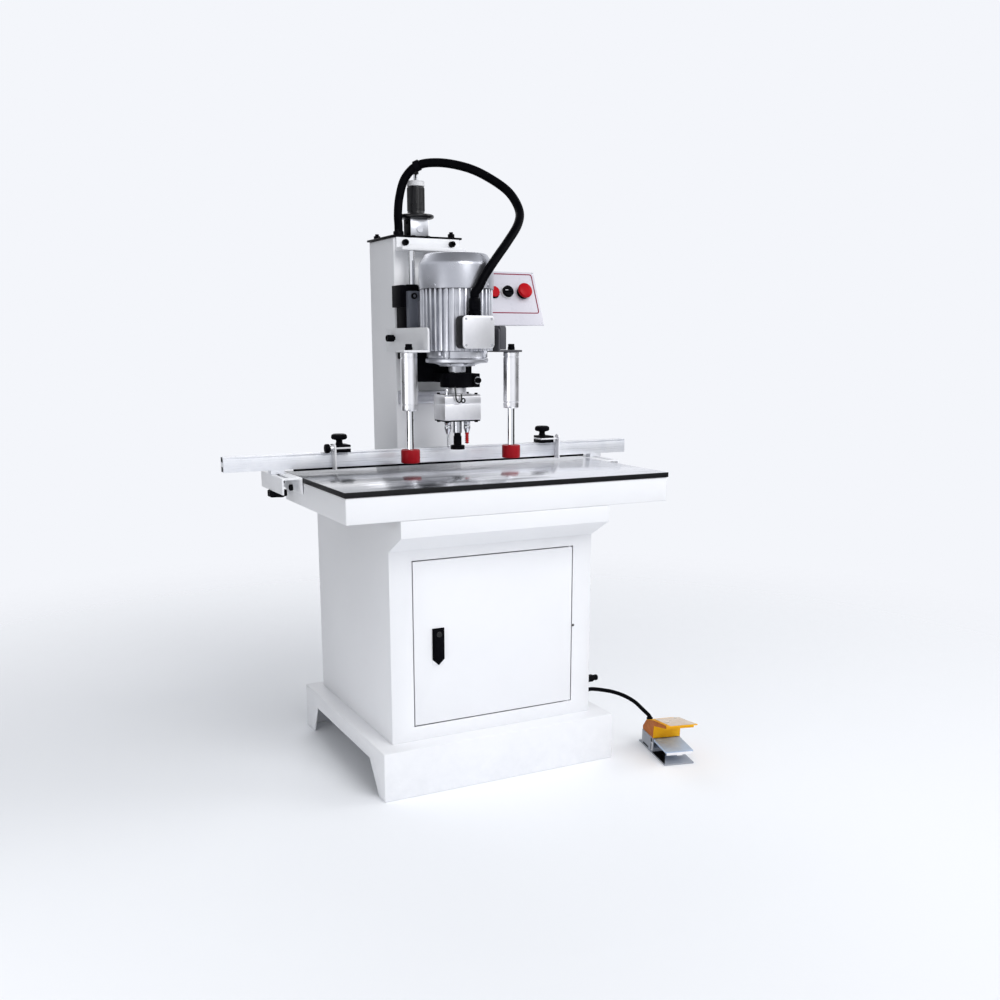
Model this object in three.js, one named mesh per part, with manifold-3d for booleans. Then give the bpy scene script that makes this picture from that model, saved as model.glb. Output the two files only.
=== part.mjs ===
// Hinge boring machine: a sheet-steel cabinet on a sled base, a work table with a sliding
// fence, a column that carries a motor-driven boring head, two hold-down clamps, a control
// box and a foot valve. Millimetres, +Z up, the front faces -Y, the door side.
import * as THREE from "three";
import { mergeVertices } from "three/addons/utils/BufferGeometryUtils.js";
import Module from "manifold-3d";

const wasm = await Module();
wasm.setup();

// Clearances
const seat = 0.3; // where two pieces rest against each other
const running = 0.4; // round a shaft in its bore
const overrun = 6; // how far a cut runs past the face it opens

// Base and cabinet
const baseHalfWidth = 306;
const baseFront = -306;
const baseBack = 283;
const baseHeight = 116;
const baseWall = 6;
const archHeight = 75;
const frontFootTip = 36;
const frontFootRoot = 98;
const backFootTip = 58;
const backFootRoot = 94;
const cabinetHalfWidth = 265;
const cabinetFront = -255;
const cabinetBack = 255;
const cabinetWall = 3;
const shoulderFront = -333;
const shoulderRise = 38;
const chamferRise = 43;

// Door
const doorInsetLeft = 58; // cabinet's side to the door
const doorInsetRight = 54;
const doorSill = 37; // base to the door
const doorHeadroom = 27; // door to the chamfer
const doorDepth = 18;
const doorSheet = 2;
const doorGap = 3;
const pinInset = 5;
const pinRadius = 3;

// Table
const tableHeight = 720;
const plateThickness = 12;
const frameRise = 58; // cabinet to the underside of the plate
const plateLeft = -390;
const plateWidth = 822;
const plateFront = -334.5;
const plateDepth = 450;
const frameInset = 2;
const frameWall = 5;

// Column and its rods. A Rise or Lift from here on counts from the table's top
const headX = 16; // centre plane of the column, the head and the clamps
const columnWidth = 182;
const columnFront = 155;
const columnDepth = 170;
const columnRise = 563;
const columnWall = 5;
const footThickness = 12;
const footBorder = 24;
const capThickness = 5;
const rodSpacing = 110;
const rodRadius = 9;
const rodSetback = 30; // from the column's front to the rods
const topShelfDrop = 33; // under the column's top
const lowShelfRise = 177;
const shelfThickness = 8;
const shelfReach = 47;
const bracketLeaf = 25;

// Boring head
const motorY = -20;
const motorRadius = 88;
const coreRadius = 76;
const finCount = 36;
const motorLift = 286;
const motorHeight = 145;
const cowlRadius = 90.5;
const cowlHeight = 83;
const cowlBevel = 25;
const cowlCrown = 72;
const cowlSheet = 2;
const flangeRadius = 73.5;
const flangeDrop = 29; // end shield under the motor
const shaftRadius = 14;
const collarRadius = 15.7;
const ringRadius = 42;
const ringDrop = 24; // ring under the end shield
const ringHeight = 34;
const blockWidth = 97;
const blockDepth = 68;
const neckHeight = 17; // ring to the head block
const blockHeight = 62;
const blockWall = 8;
const spindlePitch = 26;
const chuckLift = 57;
const sideChuckLift = 85;
const cutterRadius = 17.5;
const cutterHeight = 10;
const carriageHalf = 100;
const carriageNarrow = 88; // half width where it passes between the clamp brackets
const carriageStepLift = 392;
const carriageDepth = 60;
const carriageLift = 265;
const carriageHeight = 180;
const carriageGap = 5; // carriage to column
const mountPlate = 20;

// Clamps
const clampSpread = 137; // clamp axis from the centre plane
const clampY = -45;
const tubeRadius = 20;
const tubeLift = 146;
const tubeLength = 137;
const padRadius = 23;
const padHeight = 32;
const padLift = 22; // pad above the table at rest
const clampRodRadius = 9;
const bracketPlate = 5;
const bracketHeight = 58;

// Fence
const fenceOverLeft = 161; // fence past the plate's end
const fenceOverRight = 127;
const fenceFront = 50;
const fenceDepth = 25;
const fenceHeight = 36;
const fenceLift = 10; // fence above the table
const railWidth = 49;
const railLength = 182;
const railFront = -42;
const railSheet = 4;
const railLip = 38;
const slotOffset = 8; // the rail's slot lies outside its middle

// Control box
const boxLeft = 141;
const boxWidth = 160;
const boxDrop = 213; // under the column's top
const boxHeight = 136;
const boxFront = 52;
const boxBack = 190;
const slopeRun = 62; // how far the panel leans back
const boxSheet = 2;
const panelSheet = 3;

// Foot valve
const pedalX = 449;
const pedalY = -341;
const pedalTurn = -14 * Math.PI / 180;
const soleWidth = 78;
const soleFront = -86;
const soleLength = 180;
const soleThickness = 4;
const visorHalf = 37;
const visorBackHalf = 32;
const visorReach = 104;
const guardHalf = 36;

// Hoses
const conduitRadius = 11;
const airHoseRadius = 5;
const sleeveReach = 10;

const plateRight = plateLeft + plateWidth;
const plateBack = plateFront + plateDepth;
const plateBottom = tableHeight - plateThickness;
const cabinetTop = plateBottom - frameRise;
const doorLeft = -cabinetHalfWidth + doorInsetLeft;
const doorRight = cabinetHalfWidth - doorInsetRight;
const doorBottom = baseHeight + doorSill;
const doorTop = cabinetTop - shoulderRise - chamferRise - doorHeadroom;
const columnLeft = headX - columnWidth / 2;
const columnRight = headX + columnWidth / 2;
const columnBack = columnFront + columnDepth;
const footBack = columnBack + footBorder - doorGap;
const columnTop = tableHeight + columnRise;
const topShelfHeight = columnTop - topShelfDrop;
const lowShelfHeight = tableHeight + lowShelfRise;
const motorBottom = tableHeight + motorLift;
const motorTop = motorBottom + motorHeight;
const cowlTop = motorTop + cowlHeight;
const flangeBottom = motorBottom - flangeDrop;
const ringTop = flangeBottom - ringDrop;
const ringBottom = ringTop - ringHeight;
const blockTop = ringBottom - neckHeight;
const chuckBottom = tableHeight + chuckLift;
const sideChuckBottom = tableHeight + sideChuckLift;
const carriageBottom = tableHeight + carriageLift;
const carriageTop = carriageBottom + carriageHeight;
const carriageStep = tableHeight + carriageStepLift;
const tubeBottom = tableHeight + tubeLift;
const tubeTop = tubeBottom + tubeLength;
const boxBottom = columnTop - boxDrop;
const fenceLeft = plateLeft - fenceOverLeft;
const fenceRight = plateRight + fenceOverRight;
const fenceBottom = tableHeight + fenceLift;
const fenceTop = fenceBottom + fenceHeight;
const rodY = columnFront - rodSetback;

const white = { color: 0xf2f3f6, roughness: 0.45, metalness: 0 };
const black = { color: 0x15151a, roughness: 0.55, metalness: 0 };
const silver = { color: 0xb9bdc4, roughness: 0.35, metalness: 0.8 };
const steel = { color: 0x9ea2a8, roughness: 0.3, metalness: 0.9 };
const grey = { color: 0x8e939b, roughness: 0.5, metalness: 0.3 };
const red = { color: 0xa80f22, roughness: 0.5, metalness: 0 };
const orange = { color: 0xe0901c, roughness: 0.5, metalness: 0 };

// A closed geometry as a solid: shared corners merged, empty triangles dropped, faces out.
function solidOf(geometry) {
  const bare = geometry.clone();
  bare.deleteAttribute("normal");
  bare.deleteAttribute("uv");
  const merged = mergeVertices(bare);
  const place = merged.attributes.position;
  const index = merged.index.array;
  const faces = [];
  let volume = 0;
  const [a, b, c] = [new THREE.Vector3(), new THREE.Vector3(), new THREE.Vector3()];
  for (let i = 0; i < index.length; i += 3) {
    const [p, q, r] = [index[i], index[i + 1], index[i + 2]];
    if (p === q || q === r || p === r) continue;
    faces.push(p, q, r);
    a.fromBufferAttribute(place, p);
    b.fromBufferAttribute(place, q);
    c.fromBufferAttribute(place, r);
    volume += a.dot(b.cross(c));
  }
  if (volume < 0) faces.reverse();
  return new wasm.Manifold(new wasm.Mesh({
    numProp: 3,
    vertProperties: new Float32Array(place.array),
    triVerts: new Uint32Array(faces),
  }));
}

function geometryOf(solid) {
  const mesh = solid.getMesh();
  const geometry = new THREE.BufferGeometry();
  geometry.setAttribute("position", new THREE.BufferAttribute(mesh.vertProperties, 3));
  geometry.setIndex(new THREE.BufferAttribute(mesh.triVerts, 1));
  return geometry;
}

function block([x0, x1], [y0, y1], [z0, z1]) {
  const geometry = new THREE.BoxGeometry(x1 - x0, y1 - y0, z1 - z0);
  geometry.translate((x0 + x1) / 2, (y0 + y1) / 2, (z0 + z1) / 2);
  return solidOf(geometry);
}

// A round bar along an axis; the centre is given by the two other coordinates in order.
function bar(axis, radius, [from, to], [u, v], sides = 28) {
  const geometry = new THREE.CylinderGeometry(radius, radius, to - from, sides);
  const middle = (from + to) / 2;
  if (axis === "x") geometry.rotateZ(Math.PI / 2).translate(middle, u, v);
  if (axis === "y") geometry.translate(u, middle, v);
  if (axis === "z") geometry.rotateX(Math.PI / 2).translate(u, v, middle);
  return solidOf(geometry);
}

// A profile of (radius, height) points turned about a vertical axis.
function turned(profile, [x, y], sides = 40) {
  const points = profile.map(([radius, height]) => new THREE.Vector2(radius, height));
  const geometry = new THREE.LatheGeometry(points, sides);
  return solidOf(geometry.rotateX(Math.PI / 2).translate(x, y, 0));
}

// An outline pushed along an axis. On x the outline is (y, z), on y it is (x, z), on z (x, y).
function pushed(axis, outline, [from, to]) {
  const shape = outline instanceof THREE.Shape
    ? outline
    : new THREE.Shape(outline.map(([u, v]) => new THREE.Vector2(u, v)));
  const geometry = new THREE.ExtrudeGeometry(shape, {
    depth: to - from, bevelEnabled: false, curveSegments: 6,
  });
  geometry.translate(0, 0, from);
  const [ex, ey, ez] = [
    new THREE.Vector3(1, 0, 0), new THREE.Vector3(0, 1, 0), new THREE.Vector3(0, 0, 1),
  ];
  const turn = new THREE.Matrix4();
  if (axis === "x") turn.makeBasis(ey, ez, ex);
  if (axis === "y") turn.makeBasis(ex, ez, ey);
  return solidOf(geometry.applyMatrix4(turn));
}

function roundedShape([u0, u1], [v0, v1], radius) {
  const shape = new THREE.Shape();
  shape.moveTo(u0 + radius, v0);
  shape.lineTo(u1 - radius, v0);
  shape.absarc(u1 - radius, v0 + radius, radius, -Math.PI / 2, 0, false);
  shape.lineTo(u1, v1 - radius);
  shape.absarc(u1 - radius, v1 - radius, radius, 0, Math.PI / 2, false);
  shape.lineTo(u0 + radius, v1);
  shape.absarc(u0 + radius, v1 - radius, radius, Math.PI / 2, Math.PI, false);
  shape.lineTo(u0, v0 + radius);
  shape.absarc(u0 + radius, v0 + radius, radius, Math.PI, Math.PI * 1.5, false);
  return shape;
}

// A flexible round tube through hand-chosen route points.
function tube(route, radius, sides, steps) {
  const curve = new THREE.CatmullRomCurve3(
    route.map(([x, y, z]) => new THREE.Vector3(x, y, z)), false, "centripetal",
  );
  const section = new THREE.Shape();
  for (let i = 0; i < sides; i += 1) {
    const angle = i * 2 * Math.PI / sides;
    const [u, v] = [radius * Math.cos(angle), radius * Math.sin(angle)];
    if (i === 0) section.moveTo(u, v);
    else section.lineTo(u, v);
  }
  return solidOf(new THREE.ExtrudeGeometry(section, { steps, extrudePath: curve }));
}

function join(...solids) {
  return solids.reduce((whole, next) => whole.add(next));
}

const machine = new THREE.Group();
machine.name = "hinge_boring_machine";

function add(name, solid, look, parent = machine) {
  const material = new THREE.MeshStandardMaterial({ ...look, flatShading: true });
  const mesh = new THREE.Mesh(geometryOf(solid), material);
  mesh.name = name;
  parent.add(mesh);
  return mesh;
}

// Base: a folded sheet sled, open below, with an arch cut through both sides
{
  const arch = [
    [baseFront + frontFootTip, -overrun],
    [baseFront + frontFootRoot, archHeight],
    [baseBack - backFootRoot, archHeight],
    [baseBack - backFootTip, -overrun],
  ];
  const outer = block([-baseHalfWidth, baseHalfWidth], [baseFront, baseBack], [0, baseHeight]);
  const inner = block(
    [-baseHalfWidth + baseWall, baseHalfWidth - baseWall],
    [baseFront + baseWall, baseBack - baseWall],
    [-overrun, baseHeight - baseWall],
  );
  const reach = baseHalfWidth + overrun;
  const tunnel = pushed("x", arch, [-reach, reach]);
  add("base_frame", outer.subtract(inner).subtract(tunnel), white);
}

// Cabinet: a hollow sheet shell with a forward shoulder under the table
const cabinetBottom = baseHeight + seat;
const pinX = doorRight - pinInset;
const pinY = cabinetFront + pinInset;
{
  const tabHalf = 12;
  const tabThickness = 4;
  const side = (inset) => [
    [cabinetFront + inset, cabinetBottom + inset],
    [cabinetBack - inset, cabinetBottom + inset],
    [cabinetBack - inset, cabinetTop - inset],
    [shoulderFront + inset, cabinetTop - inset],
    [shoulderFront + inset, cabinetTop - shoulderRise + inset / 2],
    [cabinetFront + inset, cabinetTop - shoulderRise - chamferRise + inset / 2],
  ];
  const half = cabinetHalfWidth;
  const shell = pushed("x", side(0), [-half, half])
    .subtract(pushed("x", side(cabinetWall), [-half + cabinetWall, half - cabinetWall]));
  const opening = block(
    [doorLeft - doorGap, doorRight + doorGap],
    [cabinetFront - overrun, cabinetFront + cabinetWall + overrun],
    [doorBottom - doorGap, doorTop + doorGap],
  );
  const pinTab = (z) => block(
    [pinX - tabHalf, pinX + tabHalf],
    [cabinetFront + cabinetWall / 2, pinY + tabHalf],
    [z, z + tabThickness],
  );
  const pinHole = bar("z", pinRadius + running, [0, cabinetTop], [pinX, pinY], 16);
  const hole = (z) => pinHole.intersect(block(
    [pinX - tabHalf, pinX + tabHalf], [pinY - tabHalf, pinY + tabHalf],
    [z - overrun, z + tabThickness + overrun],
  ));
  const upper = doorTop + doorGap;
  const lower = doorBottom - doorGap - tabThickness;
  const body = join(shell.subtract(opening), pinTab(upper), pinTab(lower));
  add("cabinet_shell", body.subtract(hole(upper)).subtract(hole(lower)), white);
}

// Door: a tray with the pins it turns on and the latch's surround
const latchInset = 59.5;
const latchHalf = 14.5;
const latchDrop = 160;
const latchLength = 87;
const latchX = doorLeft + latchInset;
const latchTop = doorTop - latchDrop;
const latchBottom = latchTop - latchLength;
const latchRim = 3;
{
  const tray = block([doorLeft, doorRight], [cabinetFront, cabinetFront + doorDepth],
    [doorBottom, doorTop]);
  const pocket = block(
    [doorLeft + doorSheet, doorRight - doorSheet],
    [cabinetFront + doorSheet, cabinetFront + doorDepth + overrun],
    [doorBottom + doorSheet, doorTop - doorSheet],
  );
  const pinReach = 10;
  const upperPin = bar("z", pinRadius, [doorTop - doorSheet, doorTop + pinReach], [pinX, pinY], 16);
  const lowerPin = bar("z", pinRadius, [doorBottom - pinReach, doorBottom + doorSheet],
    [pinX, pinY], 16);
  const surround = block([latchX - latchHalf, latchX + latchHalf],
    [cabinetFront - latchRim, cabinetFront + doorSheet], [latchBottom, latchTop]);
  add("door", join(tray.subtract(pocket), upperPin, lowerPin, surround), white);

  const paddle = 6;
  const margin = 3;
  const point = 12;
  const outline = [
    [latchX - latchHalf + margin, latchTop - margin],
    [latchX - latchHalf + margin, latchBottom + margin + point],
    [latchX, latchBottom + margin],
    [latchX + latchHalf - margin, latchBottom + margin + point],
    [latchX + latchHalf - margin, latchTop - margin],
  ];
  const outside = cabinetFront - latchRim - seat;
  add("latch_handle", pushed("y", outline, [outside - paddle, outside]), black);
}

// Table: a sheet frame under a polished plate
{
  const [x0, x1] = [plateLeft + frameInset, plateRight - frameInset];
  const [y0, y1] = [plateFront + frameInset, plateBack - frameInset];
  const [z0, z1] = [cabinetTop + seat, plateBottom - seat];
  const outer = block([x0, x1], [y0, y1], [z0, z1]);
  const inner = block([x0 + frameWall, x1 - frameWall], [y0 + frameWall, y1 - frameWall],
    [z0 - overrun, z1 + overrun]);
  add("table_frame", outer.subtract(inner), white);
  add("table_plate", block([plateLeft, plateRight], [plateFront, plateBack],
    [plateBottom, tableHeight]), steel);
}

// Column: a sheet box on a foot plate, which overhangs the cabinet's back on two gussets
const feedX = headX;
const feedSetback = 67;
const feedY = columnFront + feedSetback;
const armHalf = 10;
const armLift = 280;
const armHeight = 25;
const armBottom = tableHeight + armLift;
const armTop = armBottom + armHeight;
const feedDown = 45;
const feedUp = 15;
{
  const footBottom = cabinetTop + seat;
  const footTop = footBottom + footThickness;
  const foot = block(
    [columnLeft - footBorder, columnRight + footBorder],
    [plateBack + footBorder / 2, footBack],
    [footBottom, footTop],
  );
  const outer = block([columnLeft, columnRight], [columnFront, columnBack],
    [footTop - seat, columnTop]);
  const inner = block([columnLeft + columnWall, columnRight - columnWall],
    [columnFront + columnWall, columnBack - columnWall], [footTop, columnTop + overrun]);
  const slot = block([feedX - armHalf - running, feedX + armHalf + running],
    [columnFront - overrun, columnFront + columnWall + overrun],
    [armBottom - feedDown - overrun, armTop + feedUp + overrun]);
  const gussetDrop = 90;
  const gussetSheet = 8;
  const gussetSpread = 60;
  const gusset = (x) => pushed("x", [
    [cabinetBack + seat, footBottom + seat],
    [cabinetBack + seat, footBottom - gussetDrop],
    [footBack, footBottom + seat],
  ], [x - gussetSheet / 2, x + gussetSheet / 2]);
  const column = join(foot, outer).subtract(inner).subtract(slot);
  add("column", join(column, gusset(headX - gussetSpread), gusset(headX + gussetSpread)), white);
}

// Column cap: plate, bolts, the block that carries the depth stop, and the hose socket
const capBottom = columnTop + seat;
const capTop = capBottom + capThickness;
const stopHalf = 25;
const stopDepth = 44;
const stopHeight = 48;
const stopTop = capTop + stopHeight;
const socketOffset = 56;
const socketSetback = 50;
const hoseSocket = [headX - socketOffset, columnFront + socketSetback];
const socketHeight = 14;
const postRadius = 6;
const postRise = 172; // post over the column
const postTop = columnTop + postRise;
{
  const border = 5;
  const boltRadius = 8;
  const boltHeight = 8;
  const boltInset = 16;
  const plate = block([columnLeft - border, columnRight + border],
    [columnFront - border, columnBack + border], [capBottom, capTop]);
  const bolts = [];
  for (const x of [columnLeft + boltInset, columnRight - boltInset]) {
    for (const y of [columnFront + boltInset, columnBack - boltInset]) {
      bolts.push(bar("z", boltRadius, [capTop - seat, capTop + boltHeight], [x, y], 12));
    }
  }
  const stopBlock = block([feedX - stopHalf, feedX + stopHalf],
    [feedY - stopDepth / 2, feedY + stopDepth / 2], [capTop - seat, stopTop]);
  const socket = bar("z", conduitRadius + border, [capTop - seat, capTop + socketHeight],
    hoseSocket);
  const post = bar("z", postRadius, [stopTop - seat, postTop], [feedX, feedY], 20);
  add("column_cap", join(plate, stopBlock, socket, post, ...bolts), black);
}

// Depth stop: a rimmed hand wheel under a long grip, turning on the hose post
{
  const rimRadius = 46;
  const rimHeight = 11;
  const rimRound = 4;
  const gripRadius = 24;
  const wheelHeight = 96.4;
  const bore = postRadius + running;
  const bottom = stopTop + seat;
  const gripTop = bottom + wheelHeight;
  const wheel = turned([
    [bore, bottom], [rimRadius - rimRound, bottom], [rimRadius, bottom + rimRound],
    [rimRadius, bottom + rimHeight - rimRound], [rimRadius - rimRound, bottom + rimHeight],
    [gripRadius, bottom + rimHeight], [gripRadius, gripTop], [bore, gripTop], [bore, bottom],
  ], [feedX, feedY], 36);
  add("depth_wheel", wheel, black);
}

// Rod brackets on the column's front: a leaf against the column and a shelf that holds the rods
const rodXs = [headX - rodSpacing / 2, headX + rodSpacing / 2];
const shelfLeft = columnLeft + frameWall;
const shelfRight = columnRight - frameWall;
{
  const boltRadius = 6;
  const boltHeight = 6;
  const boltInset = 22;
  const front = columnFront - seat;
  const rodBracket = (shelf, leafUp) => {
    const leaf = leafUp
      ? [shelf, shelf + shelfThickness + bracketLeaf]
      : [shelf - bracketLeaf, shelf + shelfThickness];
    const middle = leafUp ? leaf[1] - bracketLeaf / 2 : leaf[0] + bracketLeaf / 2;
    let bracket = join(
      block([shelfLeft, shelfRight], [front - shelfReach, front], [shelf, shelf + shelfThickness]),
      block([shelfLeft, shelfRight], [front - shelfThickness, front], leaf),
    );
    for (const x of [shelfLeft + boltInset, shelfRight - boltInset]) {
      const head = [front - shelfThickness - boltHeight, front - shelfThickness / 2];
      bracket = bracket.add(bar("y", boltRadius, head, [x, middle], 12));
    }
    for (const x of rodXs) {
      const hole = [shelf - overrun, shelf + shelfThickness + overrun];
      bracket = bracket.subtract(bar("z", rodRadius + running, hole, [x, rodY], 24));
    }
    return bracket;
  };
  add("top_bracket", rodBracket(topShelfHeight, true), white);
  add("lower_bracket", rodBracket(lowShelfHeight, false), silver);
  ["left", "right"].forEach((side, i) => {
    add(`guide_rod_${side}`, bar("z", rodRadius,
      [lowShelfHeight, topShelfHeight + shelfThickness], [rodXs[i], rodY], 24), steel);
  });
}

// Feed cylinder in the column; its rod's arm reaches the carriage through the column's slot
{
  const cylinderRadius = 34;
  const cylinderWall = 4;
  const cylinderLift = 340;
  const cylinderBottom = tableHeight + cylinderLift;
  const cylinderLid = 10;
  const feedRadius = 8;
  const pistonHeight = 15;
  const pistonLift = 460;
  const pistonBottom = tableHeight + pistonLift;
  const bore = feedRadius + running;
  const inside = cylinderRadius - cylinderWall;
  const lidBottom = columnTop - cylinderLid;
  const cylinder = turned([
    [bore, cylinderBottom], [cylinderRadius, cylinderBottom], [cylinderRadius, columnTop],
    [inside, columnTop], [inside, lidBottom], [bore, lidBottom], [bore, lidBottom - cylinderLid],
    [inside, lidBottom - cylinderLid], [inside, cylinderBottom + cylinderLid],
    [bore, cylinderBottom + cylinderLid], [bore, cylinderBottom],
  ], [feedX, feedY], 28);
  add("feed_cylinder", cylinder, silver);
  const rod = bar("z", feedRadius, [armBottom, pistonBottom + pistonHeight], [feedX, feedY], 20);
  const piston = bar("z", inside - running, [pistonBottom, pistonBottom + pistonHeight],
    [feedX, feedY], 28);
  const arm = block([feedX - armHalf, feedX + armHalf],
    [columnFront - carriageGap + seat, feedY + armHalf], [armBottom, armTop]);
  add("feed_rod", join(rod, piston, arm), steel);
}

// Carriage on the guide rods, with the motor's mounting plate on its front
const carriageBack = columnFront - carriageGap;
const carriageFront = carriageBack - carriageDepth;
const mountFront = carriageFront - seat - mountPlate;
const mountHalf = 86;
const mountLift = 280;
const mountHeight = 150;
const mountBottom = tableHeight + mountLift;
const mountTop = mountBottom + mountHeight;
{
  let carriage = join(
    block([headX - carriageNarrow, headX + carriageNarrow], [carriageFront, carriageBack],
      [carriageBottom, carriageTop]),
    block([headX - carriageHalf, headX + carriageHalf], [carriageFront, carriageBack],
      [carriageStep, carriageTop]),
  );
  for (const x of rodXs) {
    carriage = carriage.subtract(bar("z", rodRadius + running,
      [carriageBottom - overrun, carriageTop + overrun], [x, rodY], 24));
  }
  add("carriage", carriage, black);
  const boltRadius = 7;
  const boltHeight = 5;
  const boltInset = 12;
  let plate = block([headX - mountHalf, headX + mountHalf], [mountFront, carriageFront - seat],
    [mountBottom, mountTop]);
  for (const x of [headX - mountHalf + boltInset, headX + mountHalf - boltInset]) {
    for (const z of [mountBottom + boltInset, mountTop - boltInset]) {
      plate = plate.add(bar("y", boltRadius, [mountFront - boltHeight, mountFront + seat],
        [x, z], 12));
    }
  }
  add("motor_plate", plate, grey);
}

// Motor: finned housing with its feet, fan cowl, end shield, rotor and terminal box
const motorAxis = [headX, motorY];
const shaftBore = shaftRadius + running;
{
  const rotorBore = 52;
  const finShare = 0.36;
  const outline = [];
  for (let i = 0; i < finCount; i += 1) {
    const step = 2 * Math.PI / finCount;
    const [a, b] = [i * step - step * finShare / 2, i * step + step * finShare / 2];
    const corner = (radius, angle) => [
      headX + radius * Math.cos(angle), motorY + radius * Math.sin(angle),
    ];
    outline.push(corner(coreRadius, a), corner(motorRadius, a));
    outline.push(corner(motorRadius, b), corner(coreRadius, b));
  }
  const feetHalf = 62;
  const feetRise = 14;
  const feetDrop = 25;
  const feetBottom = motorBottom + feetRise;
  const feetTop = motorTop - feetDrop;
  const feetStart = motorY + coreRadius - overrun;
  const feet = block([headX - feetHalf, headX + feetHalf], [feetStart, mountFront - seat],
    [feetBottom, feetTop]);
  const bore = bar("z", rotorBore, [motorBottom - overrun, motorTop + overrun], motorAxis, 32);
  const body = pushed("z", outline, [motorBottom + seat, motorTop]);
  add("motor_housing", join(body, feet).subtract(bore), silver);

  const cowlRim = 4;
  const ventCount = 12;
  const ventInner = 30;
  const ventOuter = 58;
  const ventHalf = 4;
  const inside = cowlRadius - cowlSheet;
  const cowlBottom = motorTop + seat;
  let cowl = turned([
    [0, cowlTop], [cowlCrown, cowlTop], [cowlRadius, cowlTop - cowlBevel], [cowlRadius, cowlBottom],
    [coreRadius, cowlBottom], [coreRadius, cowlBottom + cowlRim], [inside, cowlBottom + cowlRim],
    [inside, cowlTop - cowlBevel - cowlSheet / 2], [cowlCrown - cowlSheet / 2, cowlTop - cowlSheet],
    [0, cowlTop - cowlSheet],
  ], motorAxis, 48);
  for (let i = 0; i < ventCount; i += 1) {
    const vent = block([ventInner, ventOuter], [-ventHalf, ventHalf],
      [cowlTop - cowlSheet - overrun, cowlTop + overrun]);
    cowl = cowl.subtract(vent.rotate([0, 0, i * 360 / ventCount]).translate([...motorAxis, 0]));
  }
  add("fan_cowl", cowl, silver);

  const shieldStep = 12;
  const shieldNeck = 40;
  const spigot = 8;
  const bearing = 26;
  add("end_shield", turned([
    [shaftBore, flangeBottom - spigot], [shieldNeck, flangeBottom - spigot],
    [shieldNeck, flangeBottom], [flangeRadius - spigot, flangeBottom],
    [flangeRadius, flangeBottom + shieldStep], [flangeRadius, motorBottom],
    [bearing, motorBottom], [bearing, motorBottom - shieldStep],
    [shaftBore, motorBottom - shieldStep], [shaftBore, flangeBottom - spigot],
  ], motorAxis, 40), silver);

  const airGap = 2;
  const rotorInset = 18;
  const fanLift = 16;
  const rotorBottom = motorBottom + rotorInset;
  const rotorTop = motorTop - rotorInset;
  const fanBottom = motorTop + fanLift;
  const fanHeight = 26;
  const fanRadius = 74;
  const hubRadius = 18;
  const bladeCount = 8;
  const bladeSheet = 3;
  const collarBottom = ringTop;
  const shaft = bar("z", shaftRadius, [collarBottom, fanBottom + fanHeight], motorAxis, 24);
  const core = bar("z", rotorBore - airGap, [rotorBottom, rotorTop], motorAxis, 32);
  const hub = bar("z", hubRadius, [fanBottom, fanBottom + fanHeight], motorAxis, 24);
  let rotor = join(shaft, core, hub);
  for (let i = 0; i < bladeCount; i += 1) {
    const blade = block([0, fanRadius], [-bladeSheet / 2, bladeSheet / 2],
      [fanBottom, fanBottom + fanHeight]);
    rotor = rotor.add(blade.rotate([0, 0, i * 360 / bladeCount]).translate([...motorAxis, 0]));
  }
  add("rotor_shaft", rotor, steel);
}

// Terminal box on the motor's front, with the conduit's gland on top
const terminalReach = 124; // from the motor's axis
const terminalDepth = 40;
const lidThickness = 5;
const terminalRise = 6;
const terminalHeight = 76;
const terminalHalf = 41;
const glandSetback = 22;
const glandRise = 40;
const terminalFront = motorY - terminalReach;
const terminalBottom = motorBottom + terminalRise;
const glandY = terminalFront + glandSetback;
const glandTop = terminalBottom + terminalHeight + glandRise;
{
  const back = terminalFront + terminalDepth;
  const round = 10;
  const wall = 3;
  const top = terminalBottom + terminalHeight;
  const width = [headX - terminalHalf, headX + terminalHalf];
  const inner = [headX - terminalHalf + wall, headX + terminalHalf - wall];
  const outer = pushed("y", roundedShape(width, [terminalBottom, top], round),
    [terminalFront + lidThickness + seat, back]);
  const hollow = pushed("y", roundedShape(inner, [terminalBottom + wall, top - wall], round - wall),
    [terminalFront - overrun, back - wall]);
  const saddleHalf = 26;
  const saddle = block([headX - saddleHalf, headX + saddleHalf],
    [back - wall, motorY - coreRadius + overrun], [terminalBottom + round, top - round]);
  const motorSpace = bar("z", motorRadius + seat * 2, [terminalBottom - overrun, glandTop + overrun],
    motorAxis, 72);
  add("terminal_lid", pushed("y", roundedShape(width, [terminalBottom, top], round),
    [terminalFront, terminalFront + lidThickness]), silver);
  const glandRadius = 14.5;
  const nutRadius = 16;
  const nutHeight = 12;
  const gland = join(
    bar("z", nutRadius, [top - seat, top + nutHeight], [headX, glandY], 12),
    bar("z", glandRadius, [top - seat, glandTop], [headX, glandY], 24),
  );
  const box = join(outer, saddle).subtract(hollow);
  add("terminal_box", join(box, gland).subtract(motorSpace), grey);
}

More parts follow.
